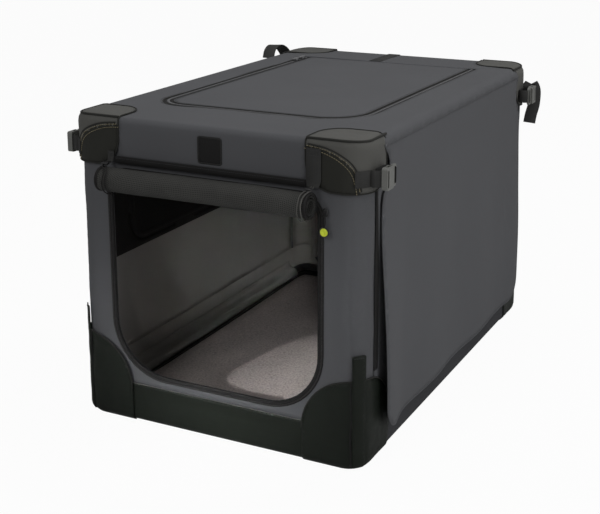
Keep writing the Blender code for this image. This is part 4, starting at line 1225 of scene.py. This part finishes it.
def make_straps():
    """Corner straps: webbing through the buckle's socket, and a tail through its plug."""
    socket_bar = PARTING_Y - 0.024 + 0.0045
    plug_bar = PARTING_Y + 0.0145 - 0.0042
    lift = 0.0022
    centre = (STRAIGHT, -(HALF_LENGTH - CORNER))
    for name, sign, half in CORNERS:

        def put(x, y, z=STRAP_Z):
            return Vector((half * x, sign * y, z))

        path = arc(centre, CORNER + 0.0001 + lift, -58, -22, 8)
        path += [(0.2592, -0.3790), (0.2650, -0.3760), (0.2705, -0.3730)]
        path += [(BUCKLE_X + 0.0030, socket_bar)]
        line = curved([put(x, y) for x, y in path], 0.003)
        main = band(f"{name}_strap", line, UP, 0.025, WEBBING, "webbing")
        dress(main, "top", "webbing", f"{name}_corner_strap")
        x, y = arc(centre, CORNER + 0.0009 + lift, -55, -54, 1)[0]
        path = [put(x, y, z) for z in np.linspace(STRAP_Z - 0.010, STRAP_Z + 0.010, 6)]
        way = Vector((half * 0.57, -sign * 0.82, 0))
        sewn = beads(f"{name}_strap_stitches", path, way, BAR_STITCH, STITCH_PITCH, "dark_thread")
        dress(sewn, "top", "webbing")
        path = [(0.2562, -0.3640), (0.2566, -0.3500), (0.2568, -0.3400), (0.2590, -0.3345)]
        path += [(0.2655, -0.3335), (0.2715, -0.3360), (BUCKLE_X + 0.0030, plug_bar + 0.0008)]
        line = curved([put(x, y) for x, y in path], 0.003)
        tail = band(f"{name}_strap_tail", line, UP, 0.0242, WEBBING, "webbing")
        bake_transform(tail)


def make_loose_ends():
    """The spare webbing of the rear straps: one end hangs, the other stands up in a loop."""
    hanging = [(0.2600, 0.381, 0.462), (0.2660, 0.390, 0.470), (0.2720, 0.394, 0.457)]
    hanging += [(0.2715, 0.394, 0.430), (0.2670, 0.392, 0.408), (0.2650, 0.390, 0.392)]
    standing = [(-0.2640, 0.378, 0.468), (-0.2720, 0.369, 0.499), (-0.2760, 0.350, 0.516)]
    standing += [(-0.2760, 0.325, 0.521), (-0.2720, 0.300, 0.514), (-0.2680, 0.285, 0.500)]
    for side, points in (("right", hanging), ("left", standing)):
        name = f"rear_{side}_loose_end"
        tail = band(name, curved(points, 0.004), (0.9, 0.44, 0), 0.024, WEBBING, "webbing")
        dress(tail, "top", "webbing")


def paint(node, material):
    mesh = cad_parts[node].data
    mesh.materials.clear()
    mesh.materials.append(MATERIALS[material])


def bevelled(node, material, width, segments=2):
    """A rigid solid with softened edges and its own finish."""
    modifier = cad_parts[node].modifiers.new("Soft edges", "BEVEL")
    modifier.width = width
    modifier.segments = segments
    modifier.limit_method = "ANGLE"
    modifier.angle_limit = math.radians(35)
    modifier.harden_normals = False
    paint(node, material)


def make_rigid_parts():
    """Better finishes and softened edges for the solids that stay."""
    for node in ("base_frame", "top_frame", "front_end_frame", "rear_end_frame"):
        paint(node, "frame")
    paint("floor_board", "board")
    for name, _, _ in CORNERS:
        bevelled(f"{name}_hinge_clip", "socket", 0.0006)
        bevelled(f"{name}_lock_socket", "socket", 0.0006)
        bevelled(f"{name}_lock_button", "button", 0.0004)
        bevelled(f"{name}_buckle_socket", "buckle", 0.0009, 3)
        bevelled(f"{name}_buckle_plug", "buckle", 0.0006)
    for node in ("front_hatch_slider", "rear_hatch_slider"):
        bevelled(node, "puller", 0.0005)


def slider_shape(centre, normal, along):
    """Rows of a zip slider's body: a waisted shield, domed on top."""
    side = along.cross(normal)
    stack = ((0.0, 0.92), (0.0008, 1.0), (0.0018, 1.0))
    stack += ((0.0024, 0.9), (0.0032, 0.62), (0.0036, 0.3))
    rows = []
    for height, grow in stack:
        row = []
        for k in range(20):
            c, s = math.cos(math.tau * k / 20), math.sin(math.tau * k / 20)
            u = 0.0062 * math.copysign(abs(c) ** 0.7, c)
            v = 0.0043 * math.copysign(abs(s) ** 0.7, s) * (1 - 0.16 * c)
            row.append(centre + along * u * grow + side * v * grow + normal * height)
        rows.append(row)
    return rows


def turned(x, z, profile):
    """Rows round a line along Y, from a profile of places and radii."""
    angles = np.linspace(0, math.tau, 33)[:-1]
    return [[(x + r * math.cos(a), y, z + r * math.sin(a)) for a in angles] for y, r in profile]


def make_front_zip():
    """Front zip slider, its cord, and the round rubber tag."""
    x, z, tag_z = 0.1938, 0.402, 0.3733
    rows = slider_shape(Vector((x, -(FRONT_CLOTH_Y + 0.0004), z)), Vector((0, -1, 0)), Vector(UP))
    body = loft("front_zip_body", rows, "zip_metal")
    dress(body, "front_zip", "zip_metal", "front_zip_slider", squash=WALL_FOLD)
    bridge = [(x, -0.4016, z + 0.0040), (x, -0.4038, z + 0.0034), (x, -0.4044, z + 0.0002)]
    bridge += [(x, -0.4038, z - 0.0030), (x, -0.4016, z - 0.0036)]
    path = curved(bridge, 0.0008)
    arch = band("front_zip_bridge", path, (1, 0, 0), 0.0024, 0.0008, "zip_metal")
    dress(arch, "front_zip", "zip_metal", squash=WALL_FOLD)
    strand = [(0.0, -0.4042, z + 0.0008), (0.0016, -0.4046, z - 0.0060)]
    strand += [(0.0019, -0.4045, z - 0.0150), (0.0008, -0.4044, tag_z + 0.0085)]
    strand += [(0.0, -0.4043, tag_z + 0.0055)]
    for k, way in enumerate((1, -1)):
        path = curved([(x + way * a, b, c) for a, b, c in strand], 0.001)
        piece = cord(f"front_zip_cord_{k}", path, 0.0009, "edge_tape")
        dress(piece, "front_zip", "webbing", squash=WALL_FOLD)
    profile = [(-0.4032, 0.0068), (-0.4033, 0.0076), (-0.4042, 0.0080), (-0.4051, 0.0076)]
    profile += [(-0.4053, 0.0068), (-0.4049, 0.0060), (-0.4049, 0.0004)]
    tag = loft("front_zip_tag", turned(x, tag_z, profile), "socket")
    dress(tag, "front_zip", "tag_rubber", "zip_pull_tag", squash=WALL_FOLD)
    profile = [(-0.4046, 0.0060), (-0.4052, 0.0060), (-0.4056, 0.0054), (-0.4056, 0.0026)]
    disc = loft("front_zip_tag_ring", turned(x, tag_z, profile + [(-0.4052, 0.0022)]), "tag")
    dress(disc, "front_zip", "tag_rubber", squash=WALL_FOLD)


def make_label():
    """A bare woven label above the doorway, with an overlocked edge."""
    x, z, half = 0.002, 0.4730, 0.0200
    face = -(FRONT_CLOTH_Y + 0.0021)
    outline = rounded(x - half, x + half, z - half, z + half, 0.0035, steps=5)
    plate = sheet("bare_label", outline, end_place(face, -1), 0.004, "edge_tape", thickness=0.0009)
    dress(plate, "top", "webbing")
    rim = laid(outline, 0.002, end_place(face + 0.0002))
    size = (0.0008, 0.0026, 0.0011)
    edge = beads("label_overlock", rim + rim[:1], (0, -1, 0), size, 0.0010, "webbing")
    dress(edge, "top", "webbing")


def make_sleeves():
    """Cloth sleeves over the rear posts, and the seams inside the rear wall."""
    for side, half in SIDES:
        x, y = half * 0.1942, 0.364
        path = [(x, y, z) for z in np.linspace(0.053, 0.440, 44)]
        sleeve = cord(f"rear_{side}_post_sleeve", path, 0.0093, "lining", sides=20)
        for vertex in sleeve.data.vertices:
            co = vertex.co
            wrinkle = noise.noise(Vector((co.x * 60, co.y * 60, co.z * 45)))
            vertex.co += Vector((co.x - x, co.y - y, 0)).normalized() * 0.0006 * wrinkle
        dress(sleeve, "rear_end_frame", "front_cloth")
    face = HALF_LENGTH - LINING - 0.0004
    for k, z in enumerate((0.098, 0.118, 0.140)):
        path = [(x, face, z - 0.01 * abs(x)) for x in np.linspace(-0.228, -0.186, 8)]
        seam = cord(f"rear_inner_seam_{k}", path, 0.0010, "lining", sides=6)
        dress(seam, "base", "front_cloth", squash=WALL_FOLD)


def make_tube_sleeves():
    """Cloth drawn over the base tube on each side, down to the mat's edge."""
    section = [(0.2488, 0.0400, 0), (0.2450, 0.0312, 0), (0.2387, 0.0270, 0), (0.2325, 0.0246, 0)]
    line = curved(section + [(0.2285, 0.0190, 0), (0.2274, 0.0120, 0)], 0.003)
    stations = np.linspace(-0.338, 0.338, 80)
    for side, sign in SIDES:
        rows = []
        for y in stations:
            lifts = [0.0007 * (1 + noise.noise(Vector((p.x * 60, y * 22, sign)))) for p in line]
            rows.append([(sign * p.x, y, p.y + lift) for p, lift in zip(line, lifts)])
        name = f"{side}_tube_sleeve"
        sleeve = loft(name, rows, "lining", closed=False, caps=0, lengths=list(stations))
        thicken(sleeve, 0.0006)
        dress(sleeve, "base", "front_cloth")


# ---------------------------------------------------------------- fleece mat


def mat_mesh(spacing=0.012, radius=0.03, height=0.0125):
    """A slack pillow: two sheets sewn along their edges."""
    bm = bmesh.new()
    nx, ny = round(2 * MAT_X / spacing), round(2 * MAT_Y / spacing)
    grid = {}
    for level, z in enumerate((MAT_LOW + 0.0002, MAT_LOW + height)):
        for j in range(ny + 1):
            for i in range(nx + 1):
                x, y = MAT_X * (2 * i / nx - 1), MAT_Y * (2 * j / ny - 1)
                over_x, over_y = abs(x) - (MAT_X - radius), abs(y) - (MAT_Y - radius)
                if over_x > 0 and over_y > 0:
                    share = max(over_x, over_y) / math.hypot(over_x, over_y)
                    x = math.copysign(MAT_X - radius + over_x * share, x)
                    y = math.copysign(MAT_Y - radius + over_y * share, y)
                grid[level, j, i] = bm.verts.new((x, y, z))
    for level in (0, 1):
        for j in range(ny):
            for i in range(nx):
                corners = ((j, i), (j, i + 1), (j + 1, i + 1), (j + 1, i))
                quad = [grid[(level, *corner)] for corner in corners]
                bm.faces.new(quad if level else quad[::-1])
    ring = [(j, 0) for j in range(ny)] + [(ny, i) for i in range(nx)]
    ring += [(j, nx) for j in range(ny, 0, -1)] + [(0, i) for i in range(nx, 0, -1)]
    for a, b in zip(ring, ring[1:] + ring[:1]):
        bm.faces.new((grid[(0, *a)], grid[(1, *a)], grid[(1, *b)], grid[(0, *b)]))
    bmesh.ops.recalc_face_normals(bm, faces=bm.faces)
    mesh = bpy.data.meshes.new("fleece_pad")
    bm.to_mesh(mesh)
    bm.free()
    return mesh


def filled(obj, start):
    """The mat's points after a short cloth simulation under pressure."""
    modifier = obj.modifiers.new("Fill", "CLOTH")
    settings = modifier.settings
    settings.use_pressure = True
    settings.uniform_pressure_force = 4.0
    settings.effector_weights.gravity = 0.0
    settings.quality = 5
    scene = bpy.context.scene
    for step in range(1, 21):
        scene.frame_set(step)
    evaluated = obj.evaluated_get(bpy.context.evaluated_depsgraph_get())
    moved = np.array([v.co[:] for v in evaluated.data.vertices])
    obj.modifiers.remove(modifier)
    scene.frame_set(1)
    change = moved - start
    reach = np.linalg.norm(change, axis=1, keepdims=True)
    return start + change * np.minimum(1.0, 0.007 / np.maximum(reach, 1e-9))


def drawn_in(x, y):
    """X on the mat, whose long edges are drawn in between its corners."""
    draw = 0.0021 * math.cos(math.pi * y / (2 * MAT_Y)) * smooth_step(abs(x), 0.17, MAT_X)
    return math.copysign(abs(x) - draw, x)


def make_mat():
    """The fleece mat, filled by a short cloth simulation."""
    mesh = mat_mesh()
    obj = add_object("fleece_pad", mesh, MATERIALS["fleece"])
    moved = np.array([v.co[:] for v in mesh.vertices])
    moved = filled(obj, moved)
    for k, (x, y, z) in enumerate(moved):
        if z > MAT_LOW + 0.006:
            crown = smooth_step(min(MAT_X - abs(x), MAT_Y - abs(y)), -0.002, 0.045)
            pile = noise.noise(Vector((x * 15, y * 15, 1.0)))
            pile += 0.6 * noise.noise(Vector((x * 55, y * 55, 4.0)))
            fill = (z - MAT_LOW - 0.0125) * 0.2
            z = MAT_LOW + 0.010 + 0.0078 * crown + 0.0012 * pile * crown + fill
        z = min(max(z, MAT_LOW), MAT_TOP)
        x = math.copysign(min(abs(drawn_in(x, y)), 0.2249), x)
        moved[k] = (x, math.copysign(min(abs(y), 0.3458), y), z)
    mesh.vertices.foreach_set("co", moved.ravel())
    smooth = obj.modifiers.new("Smooth", "SUBSURF")
    smooth.levels = smooth.render_levels = 1
    dress(obj, "base", "mat_fleece", "fleece_mat")
    x, y = MAT_X - 0.0005, MAT_Y - 0.0005
    rim = rounded(-x, x, -y, y, 0.03, steps=6)
    path = laid(rim, 0.008, lambda x, y, lift: (drawn_in(x, y), y, MAT_LOW + 0.0052))
    ways = [Vector(((p.x / MAT_X) ** 3, (p.y / MAT_Y) ** 3, 0)).normalized() for p in path]
    path, ways = path + path[:1], ways + ways[:1]
    size = (0.0022, 0.0040, 0.0022)
    dress(beads("fleece_pad_overlock", path, ways, size, 0.0030, "elastic"), "base", "mat_fleece")


# ---------------------------------------------------------------- studio


def make_floor():
    """A pale floor that keeps the shadow and is nearly white to the camera."""
    reach = 30.0
    mesh = bpy.data.meshes.new("studio_floor")
    mesh.from_pydata([(x, y, 0) for x, y in block(reach, -reach, reach)], [], [(0, 1, 2, 3)])
    made = bpy.data.materials.new("pale_floor")
    made.use_nodes = True
    obj = add_object("studio_floor", mesh, made)
    obj.location.z = -0.0012
    tree = made.node_tree
    shader = tree.nodes["Principled BSDF"]
    shader.inputs["Base Color"].default_value = (0.62, 0.62, 0.62, 1.0)
    shader.inputs["Roughness"].default_value = 0.9
    glow = add_node(tree, "Emission", {"Strength": 1.0})
    seen = add_node(tree, "LightPath", {}, "Is Camera Ray")
    share = add_node(tree, "Math", {0: seen, 1: 0.96}, operation="MULTIPLY")
    mixed = add_node(tree, "MixShader", {0: share, 1: shader.outputs[0], 2: glow})
    tree.links.new(mixed, tree.nodes["Material Output"].inputs["Surface"])


def make_world():
    """A weak white light from all round, and white where the camera sees it."""
    white = (1.0, 1.0, 1.0, 1.0)
    world = bpy.data.worlds.new("studio")
    bpy.context.scene.world = world
    world.use_nodes = True
    tree = world.node_tree
    light = tree.nodes["Background"]
    light.inputs["Color"].default_value = white
    light.inputs["Strength"].default_value = 0.24
    bright = add_node(tree, "Background", {"Color": white, "Strength": 1.0})
    camera = add_node(tree, "LightPath", {}, "Is Camera Ray")
    through = camera.node.outputs["Is Transmission Ray"]
    seen = add_node(tree, "Math", {0: camera, 1: through}, operation="MAXIMUM")
    mixed = add_node(tree, "MixShader", {0: seen, 1: light.outputs[0], 2: bright})
    tree.links.new(mixed, tree.nodes["World Output"].inputs["Surface"])


LAMPS = {
    "key_softbox": ((-0.30, -2.40, 1.80), (0.02, -0.2, 0.1), (0.9, 0.9), 12.0, 180.0),
    "mat_softbox": ((-0.95, -2.45, 1.05), (0.09, -0.18, 0.02), (0.08, 0.08), 0.24, 11.0),
    "doorway_softbox": ((1.15, -2.45, 0.80), (-0.10, -0.10, 0.18), (0.26, 0.20), 0.058, 6.0),
    "top_softbox": ((0.4, 0.3, 2.6), (0, 0, 0.3), (2.2, 2.0), 26.0, 180.0),
    "right_softbox": ((2.5, -0.5, 0.9), (0, 0, 0.25), (1.6, 1.4), 17.0, 180.0),
}


def make_lights():
    """Softboxes, each with its place, target, size, power in watts and spread in degrees."""
    for name, (place, target, size, power, spread) in LAMPS.items():
        lamp = bpy.data.lights.new(name, "AREA")
        lamp.shape = "RECTANGLE"
        lamp.size, lamp.size_y = size
        lamp.energy = power
        lamp.spread = math.radians(spread)
        obj = bpy.data.objects.new(name, lamp)
        bpy.context.scene.collection.objects.link(obj)
        obj.location = place
        obj.rotation_mode = "QUATERNION"
        obj.rotation_quaternion = (Vector(target) - Vector(place)).to_track_quat("-Z", "Y")


CAMERA_AZIMUTH = 26.314
CAMERA_ELEVATION = 13.999
CAMERA_DISTANCE = 2.142
CAMERA_TARGET = (-0.0253, 0.0, 0.3558)
CAMERA_LENS = 70.63
CAMERA_SHIFT = (-0.02, -0.15)


def make_camera():
    data = bpy.data.cameras.new("camera")
    camera = bpy.data.objects.new("camera", data)
    bpy.context.scene.collection.objects.link(camera)
    a, e = math.radians(CAMERA_AZIMUTH), math.radians(CAMERA_ELEVATION)
    back = Vector((math.sin(a) * math.cos(e), -math.cos(a) * math.cos(e), math.sin(e)))
    camera.location = Vector(CAMERA_TARGET) + back * CAMERA_DISTANCE
    camera.rotation_mode = "QUATERNION"
    camera.rotation_quaternion = (-back).to_track_quat("-Z", "Y")
    data.lens = CAMERA_LENS
    data.sensor_width = 36.0
    data.shift_x, data.shift_y = CAMERA_SHIFT
    data.clip_start = 0.05
    bpy.context.scene.camera = camera


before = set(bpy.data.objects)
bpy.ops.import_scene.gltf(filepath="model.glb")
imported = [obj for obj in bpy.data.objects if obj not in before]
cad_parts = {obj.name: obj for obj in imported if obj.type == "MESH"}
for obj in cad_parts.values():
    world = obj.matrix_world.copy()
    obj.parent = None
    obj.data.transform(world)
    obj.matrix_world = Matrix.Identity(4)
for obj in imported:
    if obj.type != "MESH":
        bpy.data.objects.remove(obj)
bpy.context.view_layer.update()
bpy.context.scene.view_settings.view_transform = "Standard"
MATERIALS = make_materials()
for make in (
    make_camera, make_world, make_floor, make_lights, make_tray, make_mat, make_end_walls,
    make_side_walls, make_binding, make_base_patches, make_corner_uprights, make_side_strips,
    make_roof, make_front_facing, make_rear_tab, make_top_patches, make_flaps, make_roll,
    make_storm_strip, make_roll_ties, make_rear_door, make_straps, make_loose_ends,
    make_rigid_parts, make_front_zip, make_label, make_sleeves, make_tube_sleeves,
):
    make()
